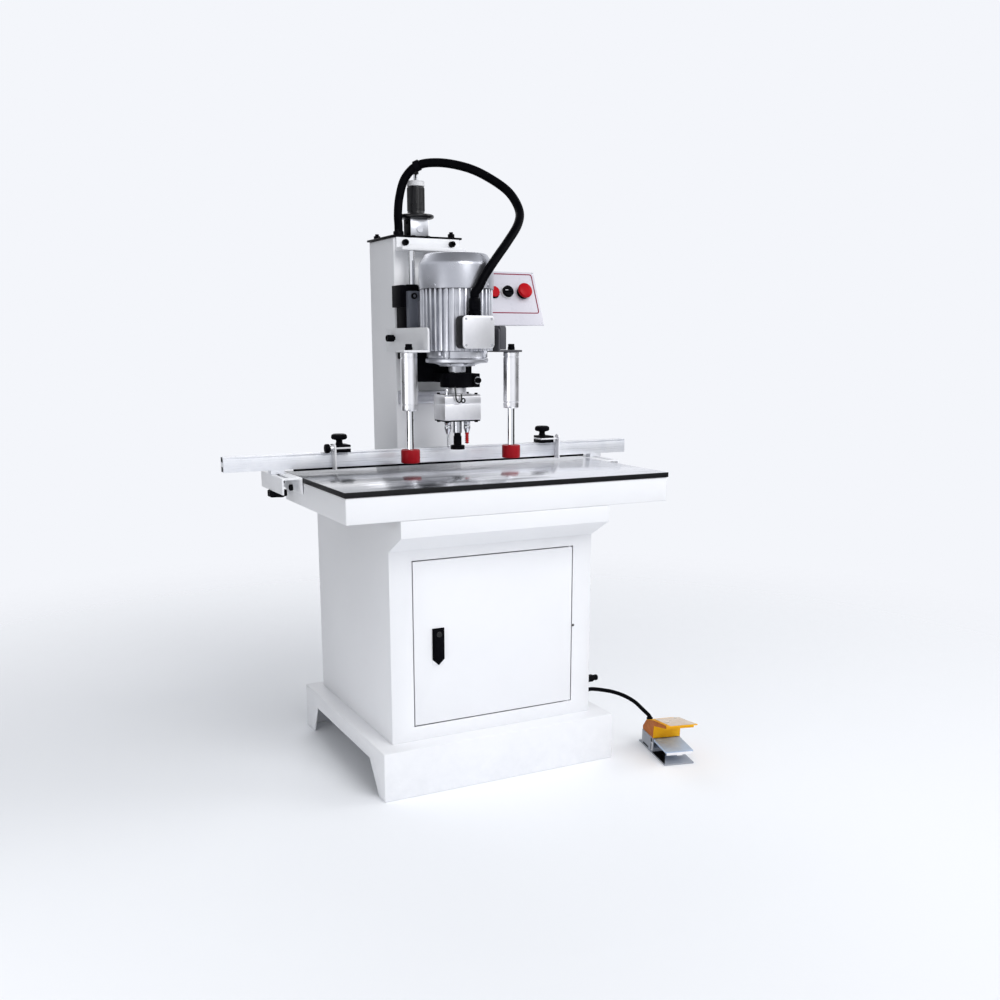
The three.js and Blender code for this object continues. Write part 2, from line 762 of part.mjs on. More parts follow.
// Spindle bracket: a black arm from the mounting plate and the ring that clamps the head
const armHalfWidth = 76;
{
  const armRise = 11; // arm over the ring's foot
  const armLower = ringBottom + armRise;
  const tongueHalf = 30;
  const armFront = motorY + flangeRadius + seat;
  const collarBore = collarRadius + running;
  const earHalf = 9;
  const earReach = 14;
  const screwRadius = 6;
  const hookWire = 1.6;
  const hookHalf = 5;
  const hookDrop = 26;
  const arm = block([headX - armHalfWidth, headX + armHalfWidth], [armFront, mountFront + mountPlate],
    [armLower, mountBottom - seat]);
  const neck = block([headX - tongueHalf, headX + tongueHalf],
    [motorY + ringRadius - overrun, armFront + seat], [armLower, ringTop]);
  const ring = bar("z", ringRadius, [ringBottom, ringTop], motorAxis, 40);
  const ear = block([headX + tongueHalf, headX + tongueHalf + earReach],
    [motorY - ringRadius + overrun / 2, motorY - earHalf], [ringBottom + seat, ringTop - seat]);
  const screw = bar("y", screwRadius, [motorY - ringRadius - screwRadius, motorY - earHalf - seat],
    [headX + tongueHalf + earReach / 2, (ringTop + ringBottom) / 2], 16);
  const bore = bar("z", collarBore, [ringBottom - overrun, ringTop + overrun], motorAxis, 28);
  const hook = tube([
    [headX - hookHalf, motorY - ringRadius + hookWire, ringBottom + hookWire],
    [headX - hookHalf, motorY - ringRadius - hookWire, ringBottom - hookDrop / 2],
    [headX, motorY - ringRadius - hookWire, ringBottom - hookDrop],
    [headX + hookHalf, motorY - ringRadius - hookWire, ringBottom - hookDrop / 2],
    [headX + hookHalf, motorY - ringRadius + hookWire, ringBottom + hookWire],
  ], hookWire, 8, 16);
  add("spindle_bracket", join(arm, neck, ring, ear, screw, hook).subtract(bore), black);
}

// Head block: gears in a hollow open at the top, three spindles through its floor
const blockBottom = blockTop - blockHeight;
const gearBottom = blockBottom + blockWall + seat;
const gearHeight = 14;
{
  const neckRadius = 24;
  const screwRadius = 6;
  const screwHead = 3;
  const stepDrop = 14;
  const [x0, x1] = [headX - blockWidth / 2, headX + blockWidth / 2];
  const [y0, y1] = [motorY - blockDepth / 2, motorY + blockDepth / 2];
  const outer = block([x0, x1], [y0, y1], [blockBottom, blockTop]);
  const hollow = block([x0 + blockWall, x1 - blockWall], [y0 + blockWall, y1 - blockWall],
    [blockBottom + blockWall, blockTop - stepDrop]);
  const neck = bar("z", neckRadius, [blockTop - seat, ringBottom - seat], motorAxis, 32);
  const entry = bar("z", shaftBore, [blockTop - stepDrop - overrun, ringBottom + overrun],
    motorAxis, 24);
  const screw = bar("y", screwRadius, [y0 - screwHead, y0 + screwHead],
    [headX, blockTop - stepDrop], 16);
  let head = join(outer, neck, screw).subtract(hollow).subtract(entry);
  for (const i of [-1, 0, 1]) {
    const bore = (i === 0 ? shaftRadius : spindlePitch / 3) + running;
    head = head.subtract(bar("z", bore, [blockBottom - overrun, gearBottom],
      [headX + i * spindlePitch, motorY], 24));
  }
  add("gear_head", head, silver);
}

// Spindles: gear, shaft and chuck; the middle one carries the hinge-cup cutter
{
  const teeth = 16;
  const addendum = 1.2;
  const dedendum = 1.7;
  const toothShare = 0.28;
  const tipShare = 0.13;
  const pitchRadius = spindlePitch / 2;
  const gear = (x, turn) => {
    const outline = [];
    const step = 2 * Math.PI / teeth;
    for (let i = 0; i < teeth; i += 1) {
      const middle = i * step + turn;
      const corner = (radius, share) => [
        x + radius * Math.cos(middle + share * step), motorY + radius * Math.sin(middle + share * step),
      ];
      outline.push(corner(pitchRadius - dedendum, -toothShare), corner(pitchRadius + addendum, -tipShare));
      outline.push(corner(pitchRadius + addendum, tipShare), corner(pitchRadius - dedendum, toothShare));
    }
    return pushed("z", outline, [gearBottom, gearBottom + gearHeight]);
  };
  const halfTooth = Math.PI / teeth;
  const journal = spindlePitch / 3;
  const chuckTop = blockBottom - seat;
  const chuckTip = 13;
  const smallChuck = 8.5;
  const middleChuck = 11;
  const bitRadius = 3;
  const bitReach = 5;
  const bitBottom = chuckBottom - bitReach;
  const redBitRadius = 4.5;
  const redBitRise = 2;
  const redBitBottom = chuckBottom + redBitRise;

  const driveShaft = join(
    bar("z", shaftRadius - running, [chuckTop - seat, blockBottom + blockWall], [headX, motorY], 24),
    bar("z", journal, [blockBottom, ringTop - seat], [headX, motorY], 24),
    gear(headX, 0),
    bar("z", middleChuck, [chuckBottom, chuckTop], [headX, motorY], 24),
    bar("z", cutterRadius, [chuckBottom - cutterHeight, chuckBottom + seat], [headX, motorY], 36),
  );
  add("centre_spindle", driveShaft, steel);

  const sideSpindle = (side, radius, bottom) => {
    const x = headX + side * spindlePitch;
    const cone = turned([
      [0, sideChuckBottom], [smallChuck / 2, sideChuckBottom],
      [smallChuck, sideChuckBottom + chuckTip], [smallChuck, chuckTop], [0, chuckTop],
    ], [x, motorY], 20);
    return join(
      bar("z", journal, [chuckTop - overrun, gearBottom + gearHeight], [x, motorY], 24),
      gear(x, halfTooth),
      cone,
      bar("z", radius, [bottom, sideChuckBottom + chuckTip], [x, motorY], 12),
    );
  };
  add("left_spindle", sideSpindle(-1, bitRadius, bitBottom), steel);
  add("right_spindle", sideSpindle(1, redBitRadius, redBitBottom), red);
}

// Clamps: bracket on the column's side, cylinder under its flange, rod and soft pad
for (const side of [-1, 1]) {
  const label = side < 0 ? "left" : "right";
  const slotSetback = 12;
  const tailSetback = 51;
  const slotEnd = columnFront + slotSetback;
  const plateTail = columnFront + tailSetback;
  const slotHalf = 4.5;
  const slotLength = 26;
  const cornerRound = 10;
  const faceX = headX + side * (columnWidth / 2 + seat);
  const outerX = faceX + side * bracketPlate;
  const clampX = headX + side * clampSpread;
  const bracketBottom = tubeTop + seat;
  const bracketTop = bracketBottom + bracketHeight;
  const front = clampY - tubeRadius - seat;
  const across = (a, b) => [Math.min(a, b), Math.max(a, b)];
  const profile = new THREE.Shape();
  profile.moveTo(front, bracketBottom);
  profile.lineTo(plateTail, bracketBottom);
  profile.lineTo(plateTail, bracketTop);
  profile.lineTo(front + cornerRound, bracketTop);
  profile.absarc(front + cornerRound, bracketTop - cornerRound, cornerRound,
    Math.PI / 2, Math.PI, false);
  const slotZ = (bracketBottom + bracketTop) / 2 + slotHalf;
  const plate = pushed("x", profile, across(faceX, outerX));
  const flangeBack = clampY + tubeRadius + cornerRound;
  const flange = block(across(faceX, clampX + side * tubeRadius),
    [front, flangeBack], [bracketBottom, bracketBottom + bracketPlate]);
  const slot = block(across(faceX - side * overrun, outerX + side * overrun),
    [slotEnd - slotLength, slotEnd], [slotZ - slotHalf, slotZ + slotHalf]);
  const fittingRadius = 7.5;
  const fittingHeight = 14;
  const stemRadius = 4;
  const stemHole = bar("z", stemRadius + running, [bracketBottom - overrun,
    bracketBottom + bracketPlate + overrun], [clampX, clampY], 16);
  add(`clamp_bracket_${label}`, join(plate, flange).subtract(slot).subtract(stemHole), white);

  const tubeWall = 3;
  const endCap = 8;
  const inside = tubeRadius - tubeWall;
  const bore = clampRodRadius + running;
  const tubeBody = turned([
    [bore, tubeBottom], [tubeRadius, tubeBottom], [tubeRadius, tubeTop], [0, tubeTop],
    [0, tubeTop - endCap], [inside, tubeTop - endCap], [inside, tubeBottom + endCap],
    [bore, tubeBottom + endCap], [bore, tubeBottom],
  ], [clampX, clampY], 32);
  const fittingBase = bracketBottom + bracketPlate + seat;
  const stem = bar("z", stemRadius, [tubeTop - seat, fittingBase + seat], [clampX, clampY], 16);
  const fitting = bar("z", fittingRadius, [fittingBase, fittingBase + fittingHeight],
    [clampX, clampY], 16);
  add(`clamp_cylinder_${label}`, join(tubeBody, stem, fitting), silver);

  const padBottom = tableHeight + padLift;
  const padTop = padBottom + padHeight;
  const pistonHeight = 18;
  const pistonLift = 46; // over the tube's foot
  const pistonBottom = tubeBottom + pistonLift;
  const rod = join(
    bar("z", clampRodRadius, [padTop + seat, pistonBottom + pistonHeight], [clampX, clampY], 24),
    bar("z", inside - running, [pistonBottom, pistonBottom + pistonHeight], [clampX, clampY], 28),
  );
  add(`clamp_rod_${label}`, rod, steel);
  const padEdge = 2;
  add(`clamp_pad_${label}`, turned([
    [0, padBottom], [padRadius - padEdge, padBottom], [padRadius, padBottom + padEdge],
    [padRadius, padTop - padEdge], [padRadius - padEdge, padTop], [0, padTop],
  ], [clampX, clampY], 28), red);
}

// Fence: a slotted extrusion on two feet, held by star knobs through slotted rails
const railTop = tableHeight;
const studRadius = 4;
const slotWall = 9;
const railCentres = [
  plateLeft - seat - railWidth / 2,
  plateRight + seat + railWidth / 2,
];
const slotCentres = railCentres.map((x, i) => (i === 0 ? x - slotOffset : x + slotOffset));
const studY = fenceFront + fenceDepth / 2;
{
  const grooveHalf = 4;
  const grooveDepth = 7;
  const chamber = 9;
  const chamberHalf = 7;
  const footHalf = 17;
  const [y0, y1] = [fenceFront, fenceFront + fenceDepth];
  const outline = [
    [y0, fenceBottom], [studY - grooveHalf, fenceBottom], [studY - grooveHalf, fenceBottom + grooveDepth / 2],
    [studY + grooveHalf, fenceBottom + grooveDepth / 2], [studY + grooveHalf, fenceBottom],
    [y1, fenceBottom], [y1, fenceTop], [studY + grooveHalf, fenceTop],
    [studY + grooveHalf, fenceTop - grooveDepth / 2], [studY + chamberHalf, fenceTop - grooveDepth / 2],
    [studY + chamberHalf, fenceTop - grooveDepth / 2 - chamber],
    [studY - chamberHalf, fenceTop - grooveDepth / 2 - chamber],
    [studY - chamberHalf, fenceTop - grooveDepth / 2], [studY - grooveHalf, fenceTop - grooveDepth / 2],
    [studY - grooveHalf, fenceTop], [y0, fenceTop],
  ];
  const studBottom = tableHeight - railLip;
  let fence = pushed("x", outline, [fenceLeft, fenceRight]);
  for (const x of slotCentres) {
    fence = fence.add(block([x - footHalf, x + footHalf], [y0 + seat, y1 - seat],
      [railTop + seat, fenceBottom + grooveDepth]));
    fence = fence.add(bar("z", studRadius, [studBottom, railTop + overrun / 2], [x, studY], 16));
  }
  add("fence", fence, silver);
}
["left", "right"].forEach((label, i) => {
  const centre = railCentres[i];
  const x = slotCentres[i];
  const half = railWidth / 2;
  const [y0, y1] = [railFront, railFront + railLength];
  const slotMargin = 18;
  const outer = block([centre - half, centre + half], [y0, y1], [railTop - railLip, railTop]);
  const channel = block([centre - half + railSheet, centre + half - railSheet],
    [y0 - overrun, y1 + overrun], [railTop - railLip - overrun, railTop - railSheet]);
  const slot = block([x - slotWall / 2, x + slotWall / 2], [y0 + slotMargin, y1 - slotMargin],
    [railTop - railSheet - overrun, railTop + overrun]);
  add(`fence_rail_${label}`, outer.subtract(channel).subtract(slot), white);

  const lobeCount = 5;
  const lobeRadius = 7;
  const lobeRing = 17;
  const starHeight = 16;
  const neckRadius = 10;
  const starTop = railTop - railLip - seat;
  const stud = bar("z", studRadius + running, [starTop - overrun, railTop], [x, studY], 16);
  let knob = join(
    bar("z", lobeRing, [starTop - starHeight, starTop], [x, studY], 20),
    bar("z", neckRadius, [starTop - seat, railTop - railSheet - seat], [x, studY], 20),
  );
  for (let k = 0; k < lobeCount; k += 1) {
    const angle = k * 2 * Math.PI / lobeCount;
    const lobe = [x + lobeRing * Math.cos(angle), studY + lobeRing * Math.sin(angle)];
    knob = knob.add(bar("z", lobeRadius, [starTop - starHeight, starTop], lobe, 12));
  }
  add(`fence_knob_${label}`, knob.subtract(stud), black);
});

// End stops: a black block keyed into the fence's top slot, a flip-up blade and a knob
for (const side of [-1, 1]) {
  const label = side < 0 ? "left" : "right";
  const bladeSheet = 4;
  const insetLeft = 103; // plate's end to the blade
  const insetRight = 94;
  const spacer = 22; // the left pivot's boss
  const blockSpacer = 12; // the right blade to its block
  const shortBoss = 5;
  const bladeX = side < 0 ? plateLeft + insetLeft : plateRight - insetRight;
  const gapToBlock = side < 0 ? seat : blockSpacer;
  const pivotKnob = side < 0 ? spacer : shortBoss;
  const blockLength = 38;
  const blockHeightAbove = 18;
  const blockOverhang = 18;
  const bladeTurnRadius = 11;
  const pivotY = fenceFront - bladeTurnRadius - seat * 2;
  const pivotZ = fenceTop + bladeTurnRadius;
  const bladeBottom = tableHeight + fenceLift / 2;
  const bladeFront = pivotY - bladeTurnRadius;
  const bladeBack = pivotY + bladeTurnRadius;
  const across = (a, b) => [Math.min(a, b), Math.max(a, b)];
  const bladeInner = bladeX - side * bladeSheet;
  const blockOuter = bladeInner - side * gapToBlock;
  const blockInner = blockOuter - side * blockLength;
  const flangeSheet = 4;
  const keyHalf = 3.6;
  const keyDepth = 3;
  const blockBase = fenceTop + seat;
  const body = block(across(blockInner, blockOuter),
    [fenceFront - blockOverhang, fenceFront + fenceDepth], [blockBase, blockBase + blockHeightAbove]);
  const flange = block(across(blockInner, bladeInner - side * seat),
    [fenceFront - blockOverhang, fenceFront + fenceDepth - seat],
    [pivotZ - flangeSheet / 2, pivotZ + flangeSheet / 2]);
  const key = block(across(blockInner, blockOuter), [studY - keyHalf, studY + keyHalf],
    [fenceTop - keyDepth, blockBase + seat]);
  add(`stop_block_${label}`, join(body, flange, key), black);

  const outline = new THREE.Shape();
  outline.moveTo(bladeFront, bladeBottom);
  outline.lineTo(bladeBack, bladeBottom);
  outline.lineTo(bladeBack, pivotZ);
  outline.absarc(pivotY, pivotZ, bladeTurnRadius, 0, Math.PI, false);
  const blade = pushed("x", outline, across(bladeX, bladeInner));
  const pivot = bar("x", bladeTurnRadius, across(bladeX - side * seat, bladeX + side * pivotKnob),
    [pivotY, pivotZ], 20);
  add(`stop_arm_${label}`, join(blade, pivot), white);

  const knobX = (blockInner + blockOuter) / 2;
  const knobBase = blockBase + blockHeightAbove + seat;
  const stemRadius = 8;
  const stemHeight = 10;
  const capRadius = 19;
  const capHeight = 15;
  const capEdge = 4;
  add(`stop_knob_${label}`, turned([
    [0, knobBase], [stemRadius, knobBase], [stemRadius, knobBase + stemHeight],
    [capRadius - capEdge, knobBase + stemHeight], [capRadius, knobBase + stemHeight + capEdge],
    [capRadius, knobBase + stemHeight + capHeight - capEdge],
    [capRadius - capEdge, knobBase + stemHeight + capHeight], [0, knobBase + stemHeight + capHeight],
  ], [knobX, studY], 28), black);
}

// Control box: a sloping-front case on an arm from the column's right side
const boxRight = boxLeft + boxWidth;
const slope = Math.atan2(slopeRun, boxHeight);
const slopeLength = Math.hypot(slopeRun, boxHeight);
const panel = new THREE.Group();
panel.position.set(boxLeft, boxFront, boxBottom);
panel.rotation.x = -slope;
machine.add(panel);
{
  const drop = panelSheet + seat;
  const caseOutline = (inset) => [
    [boxFront + inset, boxBottom + inset], [boxBack - inset, boxBottom + inset],
    [boxBack - inset, boxBottom + boxHeight - inset],
    [boxFront + slopeRun + inset, boxBottom + boxHeight - inset],
  ];
  const backStep = drop / Math.cos(slope);
  const shifted = caseOutline(0).map(([y, z], i) => (i === 0 || i === 3 ? [y + backStep, z] : [y, z]));
  const hollow = caseOutline(boxSheet).map(([y, z], i) => (
    i === 0 || i === 3 ? [y - overrun, z] : [y, z]
  ));
  const shell = pushed("x", shifted, [boxLeft, boxRight])
    .subtract(pushed("x", hollow, [boxLeft + boxSheet, boxRight - boxSheet]));
  const armSide = 32;
  const armRise = 21;
  const armBase = boxBottom + armRise;
  const arm = block([columnRight + seat, boxLeft + boxSheet / 2],
    [boxBack - armSide, boxBack], [armBase, armBase + armSide]);
  add("control_box", join(shell, arm), white);

  const bezels = [
    { radius: 15, height: 4, bore: 12 },
    { radius: 16.5, height: 5, bore: 13 },
    { radius: 16.5, height: 5, bore: 10 },
  ];
  const rowShare = 0.6; // the buttons' row up the panel
  const row = slopeLength * rowShare;
  const buttonShares = [0.19, 0.43, 0.72]; // of the panel's width
  const buttonX = buttonShares.map((share) => boxWidth * share);
  let plate = block([0, boxWidth], [0, panelSheet], [0, slopeLength]);
  bezels.forEach(({ radius, height }, i) => {
    plate = plate.add(bar("y", radius, [-height, panelSheet / 2], [buttonX[i], row], 28));
  });
  bezels.forEach(({ bore }, i) => {
    plate = plate.subtract(bar("y", bore, [-overrun, panelSheet + overrun], [buttonX[i], row], 28));
  });
  add("control_panel", plate, white, panel);

  const stemTail = 14;
  const faceProud = 3;
  const flushButton = bar("y", bezels[0].bore - running,
    [-bezels[0].height - faceProud, stemTail], [buttonX[0], row], 28);
  add("start_button", flushButton, red, panel);

  const handleHalf = 3.5;
  const handleProud = 16;
  const handleInset = 1.2;
  const handleReach = bezels[1].bore - handleInset;
  const selector = join(
    bar("y", bezels[1].bore - running, [-bezels[1].height - faceProud, stemTail], [buttonX[1], row], 28),
    block([buttonX[1] - handleReach, buttonX[1] + handleReach],
      [-handleProud, -bezels[1].height], [row - handleHalf, row + handleHalf]),
  );
  add("selector_switch", selector, black, panel);

  const capRadius = 19;
  const capBase = 12;
  const capThick = 11;
  const capEdge = 4;
  const stem = bar("y", bezels[2].bore - running, [-capBase - seat, stemTail], [buttonX[2], row], 28);
  const mushroom = turned([
    [0, capBase], [capRadius, capBase], [capRadius, capBase + capThick - capEdge],
    [capRadius - capEdge, capBase + capThick], [0, capBase + capThick],
  ], [0, 0], 28).rotate([90, 0, 0]).translate([buttonX[2], 0, row]);
  add("stop_button", join(stem, mushroom), red, panel);
}

// Cabinet fittings on the right side, and the service panel inside
const fittingSetback = 20;
const airHoseRise = 47.5; // over the base
const inletRise = 77;
const fittingY = cabinetFront + fittingSetback;
const airHoseZ = baseHeight + airHoseRise;
const inletZ = baseHeight + inletRise;
{
  const side = cabinetHalfWidth + seat;
  const wide = 10.5;
  const narrow = 7.5;
  const collar = 23;
  const inletReach = 36;
  const inlet = join(
    bar("x", wide, [side, side + collar], [fittingY, inletZ], 20),
    bar("x", narrow, [side + collar - seat, side + inletReach], [fittingY, inletZ], 20),
  );
  add("air_inlet", inlet, black);
  const sleeveRadius = 9;
  const sleeve = bar("x", sleeveRadius, [side, side + sleeveReach], [fittingY, airHoseZ], 20);
  add("hose_grommet", sleeve, black);

  const inner = cabinetBack - cabinetWall - seat;
  const sheet = 4;
  const boardHalf = 170;
  const boardRise = 97;
  const boardDrop = 22;
  const unitDrop = 120;
  const contactorInset = 30;
  const contactorWidth = 80;
  const contactorDepth = 80;
  const contactorHeight = 90;
  const valveInset = 180;
  const valveWidth = 120;
  const valveDepth = 60;
  const valveHeight = 50;
  const coilInset = 10;
  const coilFront = 45;
  const coilBack = 15;
  const coilHeight = 35;
  const boardTop = doorTop - boardDrop;
  const board = block([-boardHalf, boardHalf], [inner - sheet, inner],
    [doorBottom + boardRise, boardTop]);
  const unitFoot = boardTop - unitDrop;
  const contactorLeft = -boardHalf + contactorInset;
  const contactor = block([contactorLeft, contactorLeft + contactorWidth],
    [inner - contactorDepth, inner - sheet + seat], [unitFoot, unitFoot + contactorHeight]);
  const valveLeft = -boardHalf + valveInset;
  const valveTop = unitFoot + valveHeight;
  const valves = block([valveLeft, valveLeft + valveWidth],
    [inner - valveDepth, inner - sheet + seat], [unitFoot, valveTop]);
  const coils = block([valveLeft + coilInset, valveLeft + valveWidth - coilInset],
    [inner - coilFront, inner - coilBack], [valveTop - seat, valveTop + coilHeight]);
  add("service_panel", join(board, contactor, valves, coils), grey);
}

// Foot valve on the floor: sole and housing, guard with its visor, and the treadle
const footValve = new THREE.Group();
footValve.position.set(pedalX, pedalY, 0);
footValve.rotation.z = pedalTurn;
machine.add(footValve);
const pivotBack = 20;
const pivotHeight = 27;
const entryLeft = -30;
const entryBack = 46;
const entryHeight = 77.8;
const recessHalf = 31.6;

// A side outline given as shares of a depth and a height, in order along and up
function spread(shares, [u0, u1], [v0, v1]) {
  return shares.map(([u, v]) => [u0 + (u1 - u0) * u, v0 + (v1 - v0) * v]);
}

{
  const housingHalf = 38;
  const housingTop = 40;
  const housingFront = 4;
  const housingBack = 76;
  const recessBack = 34;
  const recessBottom = 13;
  const soleHalf = soleWidth / 2;
  const sole = block([-soleHalf, soleHalf], [soleFront, soleFront + soleLength],
    [0, soleThickness]);
  const housing = block([-housingHalf, housingHalf], [housingFront, housingBack],
    [soleThickness - seat, housingTop]);
  const recess = block([-recessHalf, recessHalf], [housingFront - overrun, recessBack],
    [recessBottom, housingTop + overrun]);
  add("pedal_base", join(sole, housing).subtract(recess), grey, footValve);

  const guardBottom = housingTop + seat;
  const guardFront = -84;
  const guardTop = 105;
  const guardShares = [
    [1, 0], [1, 0.15], [0.85, 0.521], [0.5625, 0.7373], [0, 1], [0, 0.8455], [0.525, 0.521],
    [0.5438, 0],
  ];
  const hood = pushed("x", spread(guardShares, [guardFront, housingBack], [guardBottom, guardTop]),
    [-guardHalf, guardHalf]);
  const lidBack = 6;
  const lidLow = 84;
  const lidHigh = 110;
  const lidShares = [[1, 0], [1, 0.23], [0, 1], [0, 0.904], [0.218, 0.654]];
  const lid = pushed("x", spread(lidShares, [-visorReach, lidBack], [lidLow, lidHigh]),
    [-visorHalf, visorHalf]);
  const lidOutline = [
    [-visorBackHalf, lidBack + overrun], [visorBackHalf, lidBack + overrun],
    [visorHalf, -visorReach], [-visorHalf, -visorReach],
  ];
  const visor = lid.intersect(pushed("z", lidOutline, [guardBottom, lidHigh + overrun]));
  const guardWall = 3;
  const pocketFront = 14;
  const pocketTop = 50;
  const pocket = block([-guardHalf + guardWall, guardHalf - guardWall],
    [pocketFront, housingBack - overrun], [guardBottom - overrun, pocketTop]);
  add("pedal_guard", join(hood, visor).subtract(pocket), orange, footValve);

  const treadleHalf = 36;
  const tailHalf = 30;
  const treadleBack = -2;
  const treadleLow = 32;
  const treadleHigh = 39;
  const tailLow = 23;
  const hubRadius = 6;
  const plungerRadius = 5;
  const plungerFoot = 18;
  const plungerPlace = -30;
  const plateShares = [[1, 0.286], [1, 1], [0, 0.571], [0, 0]];
  const tailShares = [[1, 0], [1, 0.5625], [0.372, 0.9625], [0, 1], [0, 0.6875]];
  const plate = pushed("x", spread(plateShares, [soleFront, treadleBack], [treadleLow, treadleHigh]),
    [-treadleHalf, treadleHalf]);
  const tail = pushed("x", spread(tailShares, [treadleBack - seat, pivotBack], [tailLow, treadleHigh]),
    [-tailHalf, tailHalf]);
  const hub = bar("x", hubRadius, [-recessHalf + seat, recessHalf - seat],
    [pivotBack, pivotHeight], 20);
  const plunger = bar("z", plungerRadius, [plungerFoot, treadleLow + plungerRadius / 2],
    [0, plungerPlace], 16);
  add("pedal_treadle", join(plate, tail, hub, plunger), steel, footValve);
}

// Hoses: the motor's conduit over the column, and the foot valve's air hose. Their hand-chosen
// points are shares of the way across, forward and up (or down) between the two ends
{
  const loopReach = 221;
  const loopRise = 177.7; // the conduit's crown over the cap
  const climbShares = [
    [-0.0047, 0, 0.3022], [0.0181, 0, 0.5498], [0.0815, 0.0153, 0.803], [0.2127, 0.0459, 0.9719],
    [0.3936, 0.1682, 1],
  ];
  const dropShares = [
    [0.6516, 0.3456, 0.9497], [0.8371, 0.4587, 0.8728], [0.9729, 0.6024, 0.7604],
    [1, 0.7248, 0.6272], [0.914, 0.8165, 0.5266], [0.7195, 0.9021, 0.392],
    [0.5747, 0.9511, 0.2988], [0.4525, 0.9847, 0.2145], [0.362, 1, 0.142],
    [0.2986, 1.0031, 0.071],
  ];
  const crown = capTop + loopRise;
  const loopPoint = (across, forward, height) => [
    hoseSocket[0] + loopReach * across,
    hoseSocket[1] + (glandY - hoseSocket[1]) * forward,
    height,
  ];
  const conduitRoute = [
    [hoseSocket[0], hoseSocket[1], capTop + socketHeight + seat],
    [hoseSocket[0], hoseSocket[1], capTop + socketHeight * 2],
    ...climbShares.map(([across, forward, up]) => (
      loopPoint(across, forward, capTop + loopRise * up)
    )),
    ...dropShares.map(([across, forward, up]) => (
      loopPoint(across, forward, glandTop + (crown - glandTop) * up)
    )),
    [headX, glandY, glandTop + conduitRadius],
    [headX, glandY, glandTop + seat],
  ];
  add("conduit_hose", tube(conduitRoute, conduitRadius, 10, 40), black);

  const turn = (x, y) => [
    pedalX + x * Math.cos(pedalTurn) - y * Math.sin(pedalTurn),
    pedalY + x * Math.sin(pedalTurn) + y * Math.cos(pedalTurn),
  ];
  const [entryX, entryY] = turn(entryLeft, entryBack);
  const [startX, dropTo] = [cabinetHalfWidth + sleeveReach * 2, entryHeight + airHoseRadius];
  const airShares = [
    [0.089, 0.0185, 0.0248], [0.2123, 0.0647, 0.0743], [0.4041, 0.1478, 0.1673],
    [0.6164, 0.2957, 0.3284], [0.8013, 0.499, 0.5514], [0.9108, 0.7207, 0.7745],
  ];
  const airRoute = [
    [cabinetHalfWidth + sleeveReach + seat * 2, fittingY, airHoseZ],
    [startX, fittingY, airHoseZ],
    ...airShares.map(([across, forward, down]) => [
      startX + (entryX - startX) * across,
      fittingY + (entryY - fittingY) * forward,
      airHoseZ + (dropTo - airHoseZ) * down,
    ]),
    [entryX, entryY, dropTo],
    [entryX, entryY, entryHeight],
  ];
  add("foot_hose", tube(airRoute, airHoseRadius, 10, 24), black);
}

// The whole machine stands on its origin: the middle of its box, on the floor
const frontReach = -pedalY + visorReach * Math.cos(pedalTurn) - visorHalf * Math.sin(pedalTurn);
machine.position.set(-(fenceLeft + fenceRight) / 2, (frontReach - footBack) / 2, 0);

export default machine;
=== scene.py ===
import math

import bmesh
import bpy
from mathutils import Matrix, Vector


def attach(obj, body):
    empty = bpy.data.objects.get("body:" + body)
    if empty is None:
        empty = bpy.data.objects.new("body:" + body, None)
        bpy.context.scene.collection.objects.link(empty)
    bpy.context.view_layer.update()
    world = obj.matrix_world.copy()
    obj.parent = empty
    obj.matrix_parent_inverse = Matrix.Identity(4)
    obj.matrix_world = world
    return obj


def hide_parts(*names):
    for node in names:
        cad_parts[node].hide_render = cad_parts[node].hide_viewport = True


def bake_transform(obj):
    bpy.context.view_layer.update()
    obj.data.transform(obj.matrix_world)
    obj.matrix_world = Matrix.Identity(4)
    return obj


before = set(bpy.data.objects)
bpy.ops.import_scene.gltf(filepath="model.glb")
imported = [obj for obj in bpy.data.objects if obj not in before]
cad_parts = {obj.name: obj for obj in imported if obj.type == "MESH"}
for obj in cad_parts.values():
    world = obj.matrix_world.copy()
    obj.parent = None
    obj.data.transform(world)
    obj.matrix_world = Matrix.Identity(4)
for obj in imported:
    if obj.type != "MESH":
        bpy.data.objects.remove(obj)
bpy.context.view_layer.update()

# Pieces are drawn in millimetres, as in the CAD script, then set down in the part's frame
toPart = Matrix.Translation((-0.004, 0.052431, 0)) @ Matrix.Scale(0.001, 4)


forward, rightward, upward, downward = (0, -1, 0), (1, 0, 0), (0, 0, 1), (0, 0, -1)

# The camera stands to the left of the machine's front, as in the photograph
camera = {
    "place": (-1.1252, -2.41907, 1.0253),
    "azimuth": math.radians(-27.123),
    "down": math.radians(12.373),
    "lens": 38.909,
    "sensor": 36,
    "shiftY": 0.08,
    "far": 60,
}
eye = bpy.data.objects.new("camera", bpy.data.cameras.new("camera"))
bpy.context.scene.collection.objects.link(eye)
eye.data.lens = camera["lens"]
eye.data.sensor_width = camera["sensor"]
eye.data.shift_y = camera["shiftY"]
eye.data.clip_end = camera["far"]
ahead = Vector((
    -math.sin(camera["azimuth"]) * math.cos(camera["down"]),
    math.cos(camera["azimuth"]) * math.cos(camera["down"]),
    -math.sin(camera["down"]),
))
eye.location = camera["place"]
eye.rotation_euler = ahead.to_track_quat("-Z", "Y").to_euler()
bpy.context.scene.camera = eye


# A shader socket that can be used in sums
class Wire:
    def __init__(self, graph, socket):
        self.graph = graph
        self.socket = socket

    def __add__(self, other):
        return self.graph.maths("ADD", self, other)

    def __mul__(self, other):
        return self.graph.maths("MULTIPLY", self, other)

    def __rsub__(self, other):
        return self.graph.maths("SUBTRACT", other, self)

    __radd__ = __add__
    __rmul__ = __mul__


